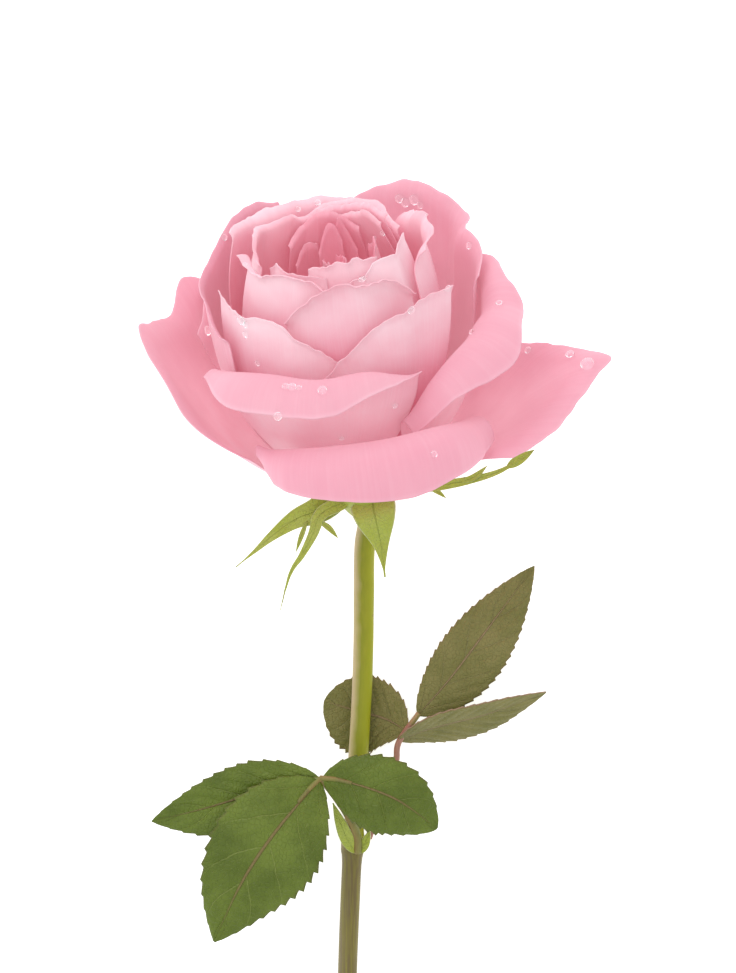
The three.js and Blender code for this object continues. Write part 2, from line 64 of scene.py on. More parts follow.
def inPicture(steps):
    # (right, down, height over the surface) in picture steps, to mm
    steps = np.asarray(steps, float)
    scale = stepMm(steps[..., 2])
    x = middleX + (steps[..., 0] - placing["middleStep"][0]) * scale
    y = middleY + (placing["middleStep"][1] - steps[..., 1]) * scale
    return np.stack([x, y, steps[..., 2]], -1)


def softNoise(x, y, seed):
    # the sum of eight sine waves with seeded directions, pitches and phases, about -1 to 1
    rng = np.random.default_rng(seed)
    total = 0
    for _ in range(8):
        angle, phase, pitch = rng.uniform(0, 6.283), rng.uniform(0, 6.283), rng.uniform(0.6, 1.6)
        total = total + np.sin(pitch * (x * np.cos(angle) + y * np.sin(angle)) + phase)
    return total / 4


def unit(vectors):
    return vectors / np.maximum(np.linalg.norm(vectors, axis=-1, keepdims=True), 1e-9)


def newShape():
    # points in mm, and faces with the uvs of their corners and their material slots
    return {"points": [], "faces": [], "uvs": [], "slots": [], "count": 0}


def addFaces(shape, points, faces, uvs, slot):
    # faces and their corners' uvs are arrays, of three or four corners each
    shape["faces"] += (faces + shape["count"]).tolist()
    shape["uvs"].append(uvs.reshape(-1, 2))
    shape["slots"].append(np.full(len(faces), slot) if np.isscalar(slot) else slot)
    shape["points"].append(points.reshape(-1, 3))
    shape["count"] += len(points.reshape(-1, 3))


def gridFaces(grid):
    # the four corners of each cell of a grid of point numbers or of uv places
    corners = [grid[:-1, :-1], grid[:-1, 1:], grid[1:, 1:], grid[1:, :-1]]
    return np.stack(corners, 2).reshape(-1, 4, *grid.shape[2:])


def addSheet(shape, points, uv, above, below, slots=(0, 1)):
    # a closed sheet: the grid of points raised by above and lowered by below along its own normals, with a rim;
    # what would sink into the surface lies flat on it
    rows, cols = points.shape[:2]
    normal = unit(np.cross(np.gradient(points, axis=1), np.gradient(points, axis=0)))
    above, below = above + np.zeros((rows, cols)), below + np.zeros((rows, cols))
    sides = [points + normal * above[..., None], points - normal * below[..., None]]
    lowSide = np.where(sides[0][..., 2] < sides[1][..., 2], 0, 1)
    sunk = np.minimum(sides[0][..., 2], sides[1][..., 2]) < 0
    for k in (0, 1):
        flat = points.copy()
        flat[..., 2] = np.where(lowSide == k, 0, above + below)
        sides[k] = np.where(sunk[..., None], flat, sides[k])
    index = np.arange(rows * cols).reshape(rows, cols)
    front = gridFaces(index)
    ring = np.concatenate([index[0, :-1], index[:-1, -1], index[-1, :0:-1], index[:0:-1, 0]])
    after = np.roll(ring, -1)
    rim = np.stack([after, ring, ring + rows * cols, after + rows * cols], -1)
    faces = np.concatenate([front, front[:, ::-1] + rows * cols, rim])
    flatUv = np.concatenate([uv.reshape(-1, 2)] * 2)
    slot = np.concatenate([np.full(len(front), slots[0]), np.full(len(front) + len(rim), slots[1])])
    addFaces(shape, np.concatenate([s.reshape(-1, 3) for s in sides]), faces, flatUv[faces], slot)
    return sides, normal


def addTube(shape, rings, slot=0, endSlot=0):
    # rings of points joined into a closed tube, with a fan over each end; uv is (turn, place along)
    rows, sides = rings.shape[:2]
    index = np.arange(rows * sides).reshape(rows, sides)
    index = np.concatenate([index, index[:, :1]], 1)
    uv = np.stack(np.meshgrid(np.linspace(0, 1, sides + 1), np.linspace(0, 1, rows)), -1)
    addFaces(shape, rings, gridFaces(index), gridFaces(uv), slot)
    base = shape["count"] - rows * sides
    for row, turn in ((0, 1), (rows - 1, -1)):
        fan = np.stack([np.roll(index[row, :-1], -turn), index[row, :-1]], -1) + base
        centre = shape["count"]
        shape["points"].append(rings[row].mean(0)[None])
        shape["count"] += 1
        shape["faces"] += np.concatenate([fan, np.full((sides, 1), centre)], 1).tolist()
        fanUv = np.full((sides, 3, 2), 1.0)  # 1 at the rim, 0 in the middle
        fanUv[:, 2] = 0
        shape["uvs"].append(fanUv.reshape(-1, 2))
        shape["slots"].append(np.full(sides, endSlot if row else slot))


def addObject(name, data):
    made = bpy.data.objects.new(name, data)
    bpy.context.scene.collection.objects.link(made)
    return made


def makePiece(name, shape, materials, nodes, tone=None):
    # a piece of the scene from a shape; tone says how deep a petal's pink is
    mesh = bpy.data.meshes.new(name)
    mesh.from_pydata((np.concatenate(shape["points"]) * 0.001).tolist(), [], shape["faces"])
    mesh.uv_layers.new(name="grown").data.foreach_set("uv", np.concatenate(shape["uvs"]).ravel())
    mesh.polygons.foreach_set("material_index", np.concatenate(shape["slots"]).astype(np.int32))
    mesh.polygons.foreach_set("use_smooth", np.ones(len(mesh.polygons), bool))
    if tone is not None:
        mesh.attributes.new("tone", "FLOAT", "POINT").data.foreach_set("value", np.full(shape["count"], tone))
    for material in materials:
        mesh.materials.append(material)
    piece = addObject(name, mesh)
    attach(piece, "root")
    if nodes:
        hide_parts(*nodes)
    return piece


def linearColor(hexText):
    # sRGB to linear light, by the standard curve
    s = np.array([int(hexText[i:i + 2], 16) for i in (0, 2, 4)]) / 255
    return (*np.where(s <= 0.04045, s / 12.92, ((s + 0.055) / 1.055) ** 2.4).tolist(), 1.0)


def startMaterial(name):
    # an empty material, and the function that adds nodes to it
    material = bpy.data.materials.new(name)
    material.use_nodes = True
    material.node_tree.nodes.clear()
    return material, partial(addNode, material.node_tree)


def addNode(tree, kind, inputs=(), stops=(), **settings):
    # inputs go by name or, as a row, in the node's own order. A node stands for its first output and a hex text for
    # its colour. stops are the places and hex colours of a ramp.
    node = tree.nodes.new("ShaderNode" + kind)
    for key, value in settings.items():
        setattr(node, key, value)
    for key, value in inputs.items() if isinstance(inputs, dict) else enumerate(inputs):
        if isinstance(value, bpy.types.Node):
            value = value.outputs[0]
        if isinstance(value, bpy.types.NodeSocket):
            tree.links.new(value, node.inputs[key])
        else:
            node.inputs[key].default_value = linearColor(value) if isinstance(value, str) else value
    for k, (at, color) in enumerate(stops):
        point = node.color_ramp.elements[k] if k < 2 else node.color_ramp.elements.new(at)
        point.position, point.color = at, linearColor(color)
    return node


def ownPlaces(add):
    # across and along the piece by its own map, and the place in the whole rose
    grown = add("SeparateXYZ", [add("UVMap", uv_map="grown")])
    return grown.outputs["X"], grown.outputs["Y"], add("TexCoord").outputs["Object"]


# Rose petal: soft living tissue about a quarter of a millimetre thick. Light passes through it and comes out
# more coral, its cells give a velvet sheen without a mirror gloss, and fine veins fan from foot to rim. The
# emission colour and strength in shades are a painted glow that stands in for the faint light gone from petal to
# petal inside the bloom. veins says how often their noise turns across and along a petal, and how far it moves with
# the petal's tone.
petalLook = {"veins": (95, 3.5, 40), "blotchMm": 11, "blotchShare": 0.35, "grainMm": 0.5, "grainShare": 0.3,
             "bump": 0.00005, "roughness": 0.55, "ior": 1.4, "sheen": 0.2, "sheenTint": "fbe3e8", "glowShare": 0.5}


def petalMaterial(name, shades):
    material, add = startMaterial(name)
    u, v, place = ownPlaces(add)
    tone = add("Attribute", attribute_name="tone").outputs["Fac"]
    run = add("VectorMath", (add("CombineXYZ", (u, v, tone)), petalLook["veins"]), operation="MULTIPLY")
    veins = add("TexNoise", {"Vector": run, "Scale": 1, "Detail": 3, "Roughness": 0.6})
    blotch = add("TexNoise", {"Vector": place, "Scale": 1000 / petalLook["blotchMm"], "Detail": 3})
    grain = add("TexNoise", {"Vector": place, "Scale": 1000 / petalLook["grainMm"]})
    base = add("ValToRGB", [v], shades["along"])
    toneShare = add("Math", (tone, shades["toneShare"]), operation="MULTIPLY")
    toned = add("MixRGB", (toneShare, base, shades["deep"]))
    spread = add("MapRange", (blotch, 0.35, 0.7, 0, petalLook["blotchShare"]))
    mottled = add("MixRGB", (spread, toned, shades["deep"]))
    streak = add("MapRange", (veins, 0.45, 0.7, 0, shades["streak"]))
    veined = add("MixRGB", (streak, mottled, shades["pale"]))
    relief = add("MixRGB", (petalLook["grainShare"], veins, grain))
    bump = add("Bump", {"Distance": petalLook["bump"], "Height": relief})
    # the emission is a painted glow, standing in for light scattered from petal to petal inside the bloom
    skin = add("BsdfPrincipled", {
        "Base Color": veined, "Normal": bump, "Roughness": petalLook["roughness"], "IOR": petalLook["ior"],
        "Emission Color": shades["paintedGlowTint"], "Emission Strength": shades["paintedGlowStrength"],
        "Sheen Weight": petalLook["sheen"], "Sheen Roughness": 0.5, "Sheen Tint": petalLook["sheenTint"]})
    lit = add("MixRGB", (petalLook["glowShare"], veined, shades["glow"]))
    passed = add("BsdfTranslucent", {"Color": lit, "Normal": bump})
    both = add("MixShader", (shades["through"], skin, passed))
    add("OutputMaterial", {"Surface": both})
    return material


# Colours along run from foot to rim. On the outer faces the pale middle stretch is partly the petals' own pale colour
# and partly painted light that lifts the shade under the lips; the last, paler stop at every rim is painted light
# shining through the thin edge.
petalBack = petalMaterial("petalOuterFace", {
    "along": [(0, "ead9c4"), (0.3, "f5e4e9"), (0.68, "f5dfe6"), (0.88, "ebc4d0"), (0.985, "ebcad5"), (1, "edd6df")],
    "deep": "e6a6b8", "pale": "f6ebef", "streak": 0.18, "toneShare": 0.25, "glow": "f4a0ae", "through": 0.2,
    "paintedGlowTint": "f6c8d2", "paintedGlowStrength": 0.15})
petalFace = petalMaterial("petalInnerFace", {
    "along": [(0, "eadcc8"), (0.25, "f5e1e6"), (0.6, "f3d4dd"), (0.88, "dda2b2"), (0.985, "dfaab9"), (1, "e9c4d0")],
    "deep": "d78ea5", "pale": "eed0d9", "streak": 0.09, "toneShare": 0.5, "glow": "f4a0ae", "through": 0.2,
    "paintedGlowTint": "f6c6cf", "paintedGlowStrength": 0.2})
heartBack = petalMaterial("heartOuterFace", {
    "along": [(0, "ead6c4"), (0.3, "e9b0c0"), (0.6, "e598ae"), (0.78, "f0c9d5"), (0.93, "f5e2e9"), (1, "f6eaf0")],
    "deep": "e48aa3", "pale": "f8f0f3", "streak": 0.12, "toneShare": 0.4, "glow": "f294a6", "through": 0.16,
    "paintedGlowTint": "f2b0bc", "paintedGlowStrength": 0.09})
heartFace = petalMaterial("heartInnerFace", {
    "along": [(0, "ecd0bc"), (0.25, "efb4c1"), (0.6, "f2b8c6"), (0.88, "f4cdd8"), (0.985, "f3d3dd"), (1, "f3dce4")],
    "deep": "e17c96", "pale": "f4e0e8", "streak": 0.1, "toneShare": 0.7, "glow": "f294a6", "through": 0.16,
    "paintedGlowTint": "f39dac", "paintedGlowStrength": 0.16})
print("petal materials made")

# A petal of opening q follows one curve from the foot; 0 is a closed bud and 1 lies flat.
fold = {"reach": 64, "clawLean": 75, "bellyLean": 52, "topLean": 75, "topTuck": 90,
        "footIn": 1.5, "footOut": 5, "footRise": 7, "sEnd": 84, "sStep": 0.25, "qEnd": 1.5, "qStep": 0.005}


def openingCurves():
    # lean(s, q) = claw part near the foot + belly part in the middle + top part near the rim; radius and height
    # are the running sums of its sine and cosine along s
    s = np.arange(0, fold["sEnd"] + fold["sStep"] / 2, fold["sStep"])
    q = np.arange(0, fold["qEnd"] + fold["qStep"] / 2, fold["qStep"])[None]
    t = np.minimum(s / fold["reach"], 1.12)[:, None]
    claw = fold["clawLean"] * (1 - (1 - np.minimum(q, 1)) ** 3)
    belly = fold["bellyLean"] * q ** 2
    top = fold["topLean"] * q ** 4 - fold["topTuck"] * q * (1 - q)
    lean = (claw * (1 - t) * (1 - 2 * t) + belly * 4 * t * (1 - t) + top * t * (2 * t - 1)) * degree
    out, rise = np.sin(lean) * fold["sStep"], np.cos(lean) * fold["sStep"]
    radius = fold["footIn"] + fold["footOut"] * q + np.cumsum(out, 0) - (out + out[:1]) / 2
    height = fold["footRise"] * (1 - q) + np.cumsum(rise, 0) - (rise + rise[:1]) / 2
    outward = np.gradient(radius, fold["qStep"], axis=1) * np.cos(lean)
    upward = np.gradient(height, fold["qStep"], axis=1) * np.sin(lean)
    return radius, height, np.maximum(outward - upward, 3)


radiusTable, heightTable, spreadTable = openingCurves()


def readTable(table, s, q):
    # straight-line reading between the table's steps
    x = np.clip(s / fold["sStep"], 0, table.shape[0] - 1.001)
    y = np.clip(q / fold["qStep"], 0, table.shape[1] - 1.001)
    i, j = x.astype(int), y.astype(int)
    x, y = x - i, y - j
    return (table[i, j] * (1 - x) * (1 - y) + table[i + 1, j] * x * (1 - y)
            + table[i, j + 1] * (1 - x) * y + table[i + 1, j + 1] * x * y)


def openingWidth(s, q):
    # how many mm the surface moves for one unit of opening
    return readTable(spreadTable, s, np.clip(q, 0.05, 1.45))


def cubicWeights(places, cells):
    # Catmull-Rom weights that read a row of cells + 1 values at the given places, from 0 to cells
    i = np.minimum(places.astype(int), cells - 1)
    t = places - i
    parts = [-0.5 * t + t ** 2 - 0.5 * t ** 3, 1 - 2.5 * t ** 2 + 1.5 * t ** 3,
             0.5 * t + 2 * t ** 2 - 1.5 * t ** 3, -0.5 * t ** 2 + 0.5 * t ** 3]
    weights = np.zeros((len(places), cells + 1))
    for k, part in enumerate(parts):
        np.add.at(weights, (np.arange(len(places)), np.clip(i + k - 1, 0, cells)), part)
    return weights


def acrossPetal(values, u):
    # a smooth line through values that stand evenly over u = -1 to 1; one number stays as it is
    if np.isscalar(values):
        return values + 0 * u
    cells = len(values) - 1
    return (cubicWeights((u.ravel() + 1) / 2 * cells, cells) @ np.array(values, float)).reshape(u.shape)


# Angles round the bloom in degrees, 0 to the front and 90 to the right; lengths in mm. A list gives values from a
# petal's left side to its right. Past topFrom of its length a petal's sides draw in by topIn, and from openFull on
# open counts in full. The furled petals in the middle are small, with a narrow lip and fewer cells.
petalBase = {"crown": [0.75, 0.95, 1, 0.95, 0.75], "lip": 6, "curl": 40, "claw": 0.3, "flare": 0.7, "wave": 0.5,
             "waves": 3, "phase": 0, "topFrom": 0.6, "topIn": 0.15, "openFull": 0.5, "start": 0, "gap": 1.2,
             "rows": 60, "cols": 116}
heartBase = {**petalBase, "gap": 1.05}
furledBase = {**heartBase, "lip": 2, "curl": 30, "wave": 0.2, "rows": 50, "cols": 70}
# Unevenness in mm, with the pitches of its waves across and along the petal: nick at the rim, ruffle of the blade.
# Both fade towards the foot, and rimRadius turns degrees to mm for them.
petalSkin = {"nick": 0.6, "nickPitch": 2.4, "fineNickPitch": 0.8, "fineNickShare": 0.35, "nickFade": 16,
             "ruffle": 0.5, "rufflePitch": (4.5, 9), "ruffleFade": 3, "rimRadius": 34, "rowCrowding": 1.25,
             "halfThick": 0.12, "footThicker": 0.12}
petalTable = {
    "outer_petal_1": {"at": 77, "wide": 46, "long": 65.5, "open": [1.1, 1.06, 1.01, 0.96, 0.91],
        "crown": [0.71, 0.755, 0.785, 0.805, 0.82, 0.85, 0.89, 0.935, 0.985, 0.905, 0.845, 0.795, 0.76, 0.73, 0.705,
        0.68, 0.66], "lip": 8, "curl": 15, "wave": 0.4, "topIn": 0.3},
    "outer_petal_2": {"at": -88, "wide": 50, "long": 64, "open": [0.8, 0.82, 0.84, 0.88, 0.94],
        "crown": [0.9, 0.955, 0.985, 0.93, 0.905, 0.915, 0.935, 0.96, 1, 0.955, 0.915, 0.88, 0.85, 0.825, 0.79, 0.72,
        0.62], "curl": 15, "wave": 0.4, "phase": 1, "topIn": 0.1},
    "outer_petal_3": {"at": 4, "wide": 50, "long": 63, "open": [0.88, 0.9, 0.9, 0.9, 0.88],
        "crown": [0.68, 0.92, 1, 0.96, 0.78], "lip": [7, 17, 22, 19, 13], "curl": 115, "wave": 0.3},
    "outer_petal_4": {"at": 145, "wide": 42, "long": 63, "open": [0.84, 0.9, 0.9, 0.82, 0.73],
        "crown": [0.7, 0.93, 1, 0.93, 0.75], "lip": [3, 7, 9, 7, 3], "curl": [20, 45, 50, 40, 20], "wave": 0.2,
        "phase": 2},
    "outer_petal_5": {"at": -148, "wide": 44, "long": 62, "open": [0.72, 0.8, 0.88, 0.88, 0.84],
        "crown": [0.75, 0.93, 1, 0.96, 0.8], "lip": [3, 7, 9, 7, 3], "curl": [20, 40, 50, 45, 20], "wave": 0.2,
        "phase": 3},
    "outer_petal_6": {"at": 68, "wide": 55, "long": 66, "open": [0.72, 0.72, 0.7, 0.7, 0.7],
        "crown": [0.66, 0.86, 0.99, 1.01, 0.99, 0.98, 0.965, 0.94, 0.88], "lip": [9, 19, 16, 9, 4],
        "curl": [110, 100, 85, 60, 40], "waves": 4},
    "outer_petal_7": {"at": -17, "wide": 55, "long": 64.5, "open": 0.7, "crown": [0.83, 0.965, 0.965, 0.93, 0.76],
        "lip": [6, 13, 14, 11, 4], "curl": [100, 130, 130, 120, 60], "wave": 0.3, "flare": 1.2},
    "outer_petal_8": {"at": -108, "wide": 58, "long": 72, "open": 0.66,
        "crown": [0.995, 1.02, 1, 0.955, 0.9, 0.87, 0.84, 0.81, 0.78], "lip": 3},
    "outer_petal_9": {"at": 128, "wide": 54, "long": 75, "open": [0.74, 0.76, 0.76, 0.76, 0.73],
        "crown": [0.8, 0.84, 0.88, 0.89, 0.91, 0.97, 0.99, 0.96, 0.91], "lip": 5, "wave": 0.8, "phase": 1.5},
    "outer_petal_10": {"at": -168, "wide": 50, "long": 68, "open": 0.64, "lip": 8, "curl": 60},
    "cup_petal_1": {"at": 24, "wide": 43, "long": 67, "open": [0.55, 0.56, 0.58, 0.6, 0.64],
        "crown": [0.66, 0.72, 0.77, 0.82, 0.86, 0.875, 0.89, 0.91, 0.91], "lip": 3, "curl": 25, "wave": 0.2,
        "flare": 2.5},
    "cup_petal_2": {"at": -33, "wide": 50, "long": 67, "open": [0.62, 0.59, 0.57, 0.55, 0.54],
        "crown": [0.94, 0.9, 0.885, 0.875, 0.86, 0.81, 0.73, 0.67, 0.63], "lip": 3, "curl": 25, "wave": 0.2,
        "flare": 1.3},
    "cup_petal_3": {"at": -150, "wide": 55, "long": 71, "open": [0.58, 0.58, 0.58, 0.58, 0.575],
        "crown": [0.99, 1.01, 1.01, 1.01, 1.01], "lip": [4, 5, 6, 5, 3], "curl": [60, 60, 60, 50, 40], "flare": 1},
    "cup_petal_4": {"at": 98, "wide": 50, "long": 71, "open": [0.47, 0.49, 0.5, 0.5, 0.48],
        "crown": [0.93, 0.98, 1, 0.985, 0.96], "lip": 9, "topIn": 0.4, "flare": 1},
    "cup_petal_5": {"at": 165, "wide": 50, "long": 71, "open": 0.52, "crown": [0.9, 0.97, 1, 0.97, 0.9], "curl": 60,
        "wave": 0.8},
    "heart_petal_1": {"at": 8, "wide": 50, "long": 67, "open": 0.46,
        "crown": [0.83, 0.89, 0.93, 0.945, 0.955, 0.95, 0.94, 0.91, 0.85], "lip": 5, "curl": 50, "wave": 0.1},
    "heart_petal_2": {"at": -37, "wide": 53, "long": 70, "open": [0.49, 0.44, 0.41, 0.38, 0.37],
        "crown": [0.99, 0.93, 0.91, 0.91, 0.91, 0.89, 0.86, 0.83, 0.8], "lip": [6, 4, 4, 4, 4],
        "curl": [65, 50, 50, 50, 50], "wave": 0.2},
    "heart_petal_3": {"at": 40, "wide": 36, "long": 70, "open": [0.38, 0.39, 0.41, 0.44, 0.52],
        "crown": [0.81, 0.84, 0.87, 0.89, 0.905, 0.92, 0.93, 0.94, 0.96], "lip": 3, "curl": 25, "wave": 0.2},
    "heart_petal_4": {"at": 168, "wide": 55, "long": 70, "open": 0.43, "crown": [0.95, 0.98, 0.98, 0.96, 0.93],
        "lip": 4, "curl": 50},
    "heart_petal_5": {"at": -128, "wide": 60, "long": 70, "open": [0.42, 0.43, 0.45, 0.47, 0.48],
        "crown": [0.9, 0.95, 0.98, 0.99, 0.9], "lip": 4, "curl": 50},
    "heart_petal_6": {"at": -42, "wide": 38, "long": 64, "open": 0.36, "crown": [0.93, 0.975, 0.955, 0.93, 0.9]},
    "heart_petal_7": {"at": 6, "wide": 42, "long": 64, "open": 0.33, "crown": [0.915, 0.94, 0.945, 0.955, 0.96]},
    "heart_petal_8": {"at": 155, "wide": 42, "long": 66, "open": [0.4, 0.37, 0.35, 0.34, 0.33],
        "crown": [0.955, 0.99, 0.985, 0.97, 0.94], "lip": 3, "curl": 40},
    "heart_petal_9": {"at": -172, "wide": 46, "long": 65, "open": 0.3, "crown": [0.92, 0.97, 0.985, 0.97, 0.9],
        "lip": 3, "curl": 40},
    "heart_petal_10": {"at": -152, "wide": 21, "long": 57, "open": 0.24, "crown": [0.88, 0.96, 0.98, 0.965, 0.9],
        "wave": 0},
    "heart_petal_11": {"at": 166, "wide": 20, "long": 62, "open": 0.19, "crown": [0.84, 0.92, 0.98, 0.92, 0.84],
        "curl": 20, "wave": 0, "start": 9},
    "heart_petal_12": {"at": 95, "wide": 40, "long": 60, "open": 0.2, "crown": [0.9, 0.95, 0.97, 0.95, 0.9]},
    "heart_petal_13": {"at": -176, "wide": 24, "long": 60, "open": 0.14, "crown": [0.9, 0.97, 0.98, 0.94, 0.86],
        "wave": 0, "start": 9},
    "heart_petal_14": {"at": 30, "wide": 166, "long": 51, "open": 0.02, "crown": 0.98, "lip": 1, "curl": 20,
        "claw": 0.8, "wave": 0.1},
}
settling = {"steps": 32, "turnCells": 120, "alongCells": 43, "alongStep": 2, "reach": 2, "start": 1.45}
room = np.full((settling["turnCells"], settling["alongCells"]), settling["start"])


def petalForm(p):
    # angle = at + half width * u, narrow at the claw; place along the curve = length * v * crown(u), which bends
    # out into the lip near the rim; opening = open(u), with the lip's push and a wave added
    steps = np.arange(settling["steps"] + 1) / settling["steps"]
    v, u = np.meshgrid(steps, 2 * steps - 1, indexing="ij")
    steady = acrossPetal(p["open"], np.linspace(-1, 1, 9)).mean()
    half = p["wide"] * (p["claw"] + (1 - p["claw"]) * v ** p["flare"])
    half = half * (1 - p["topIn"] * np.maximum((v - p["topFrom"]) / (1 - p["topFrom"]), 0) ** 2)
    arc = p["start"] + (p["long"] * acrossPetal(p["crown"], u) - p["start"]) * v
    lip = acrossPetal(p["lip"], u)
    body = p["long"] * acrossPetal(p["crown"], u) - lip
    bend = lip / (acrossPetal(p["curl"], u) * degree)
    over = np.maximum(arc - body, 0) / bend
    s = np.minimum(arc, body) + bend * np.sin(over)
    push = bend * (1 - np.cos(over)) + p["wave"] * np.sin(p["waves"] * np.pi * u + p["phase"]) * v ** 4
    q = steady + (acrossPetal(p["open"], u) - steady) * np.minimum(v / p["openFull"], 1) ** 1.5
    return p["at"] + half * u, s, q + push / openingWidth(s, q)


def slide(grid, reach, pick):
    # the highest or mean value in a window round each cell, over rows and then columns, with held edges
    for axis in (0, 1):
        n = grid.shape[axis]
        moved = [np.take(grid, np.clip(np.arange(n) + k, 0, n - 1), axis) for k in range(-reach, reach + 1)]
        grid = pick(np.stack(moved), axis=0)
    return grid


def settle(phi, s, q, gap):
    # a petal gives way to those outside it: its opening goes below the least one that took its place, less the gap
    i = np.round(phi / 360 * settling["turnCells"]).astype(int) % settling["turnCells"]
    j = np.clip(np.round(s / settling["alongStep"]).astype(int), 0, settling["alongCells"] - 1)
    over = np.maximum(q - room[i, j] + gap / openingWidth(s, q), 0)
    over = slide(slide(over, settling["reach"], np.max), settling["reach"], np.mean)
    q = np.maximum(q - over, 0)
    for di in (-1, 0, 1):
        for dj in (-1, 0, 1):
            near = ((i + di) % settling["turnCells"], np.clip(j + dj, 0, settling["alongCells"] - 1))
            np.minimum.at(room, near, q)
    return phi, s, q


def petalSurface(p, seed):
    # the settled form read finely, its rim made uneven and its blade buckled by noise that fades to the foot
    skin = petalSkin
    v = 1 - (1 - np.linspace(0, 1, p["rows"] + 1)) ** skin["rowCrowding"]
    u = np.linspace(-1, 1, p["cols"] + 1)
    down, along = (cubicWeights(x * settling["steps"], settling["steps"]) for x in (v, (u + 1) / 2))
    phi, s, q = (down @ grid @ along.T for grid in settle(*petalForm(p), p["gap"]))
    v, u = np.meshgrid(v, u, indexing="ij")
    x = u * p["wide"] * degree * skin["rimRadius"]
    rim = softNoise(x / skin["nickPitch"], 0, seed) * (1 - skin["fineNickShare"])
    rim = rim + softNoise(x / skin["fineNickPitch"], 0, seed + 50) * skin["fineNickShare"]
    s = s + skin["nick"] * rim * v ** skin["nickFade"]
    wide, long = skin["rufflePitch"]
    buckle = skin["ruffle"] * softNoise(x / wide, v * p["long"] / long, seed + 100) * v ** skin["ruffleFade"]
    q = q + buckle / openingWidth(s, q)
    radius, height = readTable(radiusTable, s, q), readTable(heightTable, s, q)
    points = inBloom(radius * np.sin(phi * degree), radius * np.cos(phi * degree), height)
    return points, np.stack([(u + 1) / 2, v], -1), skin["halfThick"] + skin["footThicker"] * (1 - v)


# How deep a petal's pink is: steps by the golden ratio keep neighbours apart, and furled petals are the deepest.
toneTable = {"step": 0.618, "innerShare": 0.3, "furledFrom": 0.4, "over": 0.2, "inward": 0.7}
seen = {"points": [], "normals": []}  # every petal's upper and lower skin, for what sits on them
for k, (node, given) in enumerate(petalTable.items()):
    isHeart, isOuter = node.startswith("heart"), node.startswith("outer")
    inward = 0 if isOuter else np.clip((toneTable["furledFrom"] - np.mean(given["open"])) / toneTable["over"], 0, 1)
    own = (k + 1) * toneTable["step"] % 1
    tone = own * (1 if isOuter else toneTable["innerShare"]) + toneTable["inward"] * inward
    p = {**(furledBase if inward else heartBase if isHeart else petalBase), **given}
    points, uv, thick = petalSurface(p, k)
    shape = newShape()
    sides, normal = addSheet(shape, points, uv, thick, thick)
    makePiece(node.replace("_", "-"), shape, [petalBack, petalFace] if isOuter else [heartBack, heartFace], [node],
              tone)
    seen["points"] += [sides[0].reshape(-1, 3), sides[1].reshape(-1, 3)]
    seen["normals"] += [normal.reshape(-1, 3), -normal.reshape(-1, 3)]
print("petals made:", len(petalTable))


def curvePath(points, count):
    # a centripetal Catmull-Rom curve through the points, read at even distances, with its tangents
    p = np.asarray(points, float)
    p = np.concatenate([2 * p[:1] - p[1:2], p, 2 * p[-1:] - p[-2:-1]])
    gaps = np.linalg.norm(np.diff(p, axis=0), axis=1) ** 0.5
    t = np.linspace(0, 1, 80)[:, None]
    runs = []
    for i in range(1, len(p) - 2):
        a, b, c = gaps[i - 1:i + 2]
        m = ((p[i] - p[i - 1]) / a - (p[i + 1] - p[i - 1]) / (a + b) + (p[i + 1] - p[i]) / b) * b
        n = ((p[i + 1] - p[i]) / b - (p[i + 2] - p[i]) / (b + c) + (p[i + 2] - p[i + 1]) / c) * b
        step = p[i + 1] - p[i]
        runs.append(p[i] + m * t + (3 * step - 2 * m - n) * t ** 2 + (m + n - 2 * step) * t ** 3)
    dense = np.concatenate(runs)
    length = np.concatenate([[0], np.cumsum(np.linalg.norm(np.diff(dense, axis=0), axis=1))])
    at = np.linspace(0, length[-1], count)
    path = np.stack([np.interp(at, length, dense[:, k]) for k in range(3)], -1)
    return path, unit(np.gradient(path, axis=0))


def besidePath(tangent, roll=0.0):
    # the way across and the way up at each place along a path, turned about it by roll
    up = np.array([0.0, 0, 1])
    a = roll * degree
    lift = up * np.cos(a) + np.cross(tangent, up) * np.sin(a) + tangent * (tangent @ up)[:, None] * (1 - np.cos(a))
    side = unit(np.cross(tangent, lift))
    return side, np.cross(side, tangent)


def rodRings(points, radius, rows=40, sides=16):
    # circles of the given radius at even places along the curve, kept above the surface
    path, tangent = curvePath(points, rows)
    side, lift = besidePath(tangent)
    t, turn = np.linspace(0, 1, rows)[:, None], np.arange(sides)[None] / sides * 2 * np.pi
    r = radius(t, turn)[..., None]
    rings = path[:, None] + r * (np.cos(turn)[..., None] * side[:, None] + np.sin(turn)[..., None] * lift[:, None])
    rings[..., 2] = np.maximum(rings[..., 2], 0)
    return rings


# Side veins stand along the rib and lean to the tip, the left ones shifted; relief and colours both follow them.
sideVeins = {"count": 9, "lean": 0.28, "leftShift": 0.4}
# The length of a blade is its path. Half widths, thicknesses and the height of ribs and quilting are in mm.
bladeBase = {"from": 0.8, "sharp": 0.85, "side": (1, 1), "tail": 0.02, "roll": 0, "fold": 0.15, "sag": 0, "wave": 0,
             "waves": (9, 2), "teeth": 0, "tooth": 0.085, "leftTeeth": 0.35, "quilt": 0, "crinkle": 0.3,
             "crinklePitch": (3, 12), "seed": 0, "rib": 0.35, "ribWide": 0.45, "above": 0.18, "below": 0.18,
             "cols": 24}


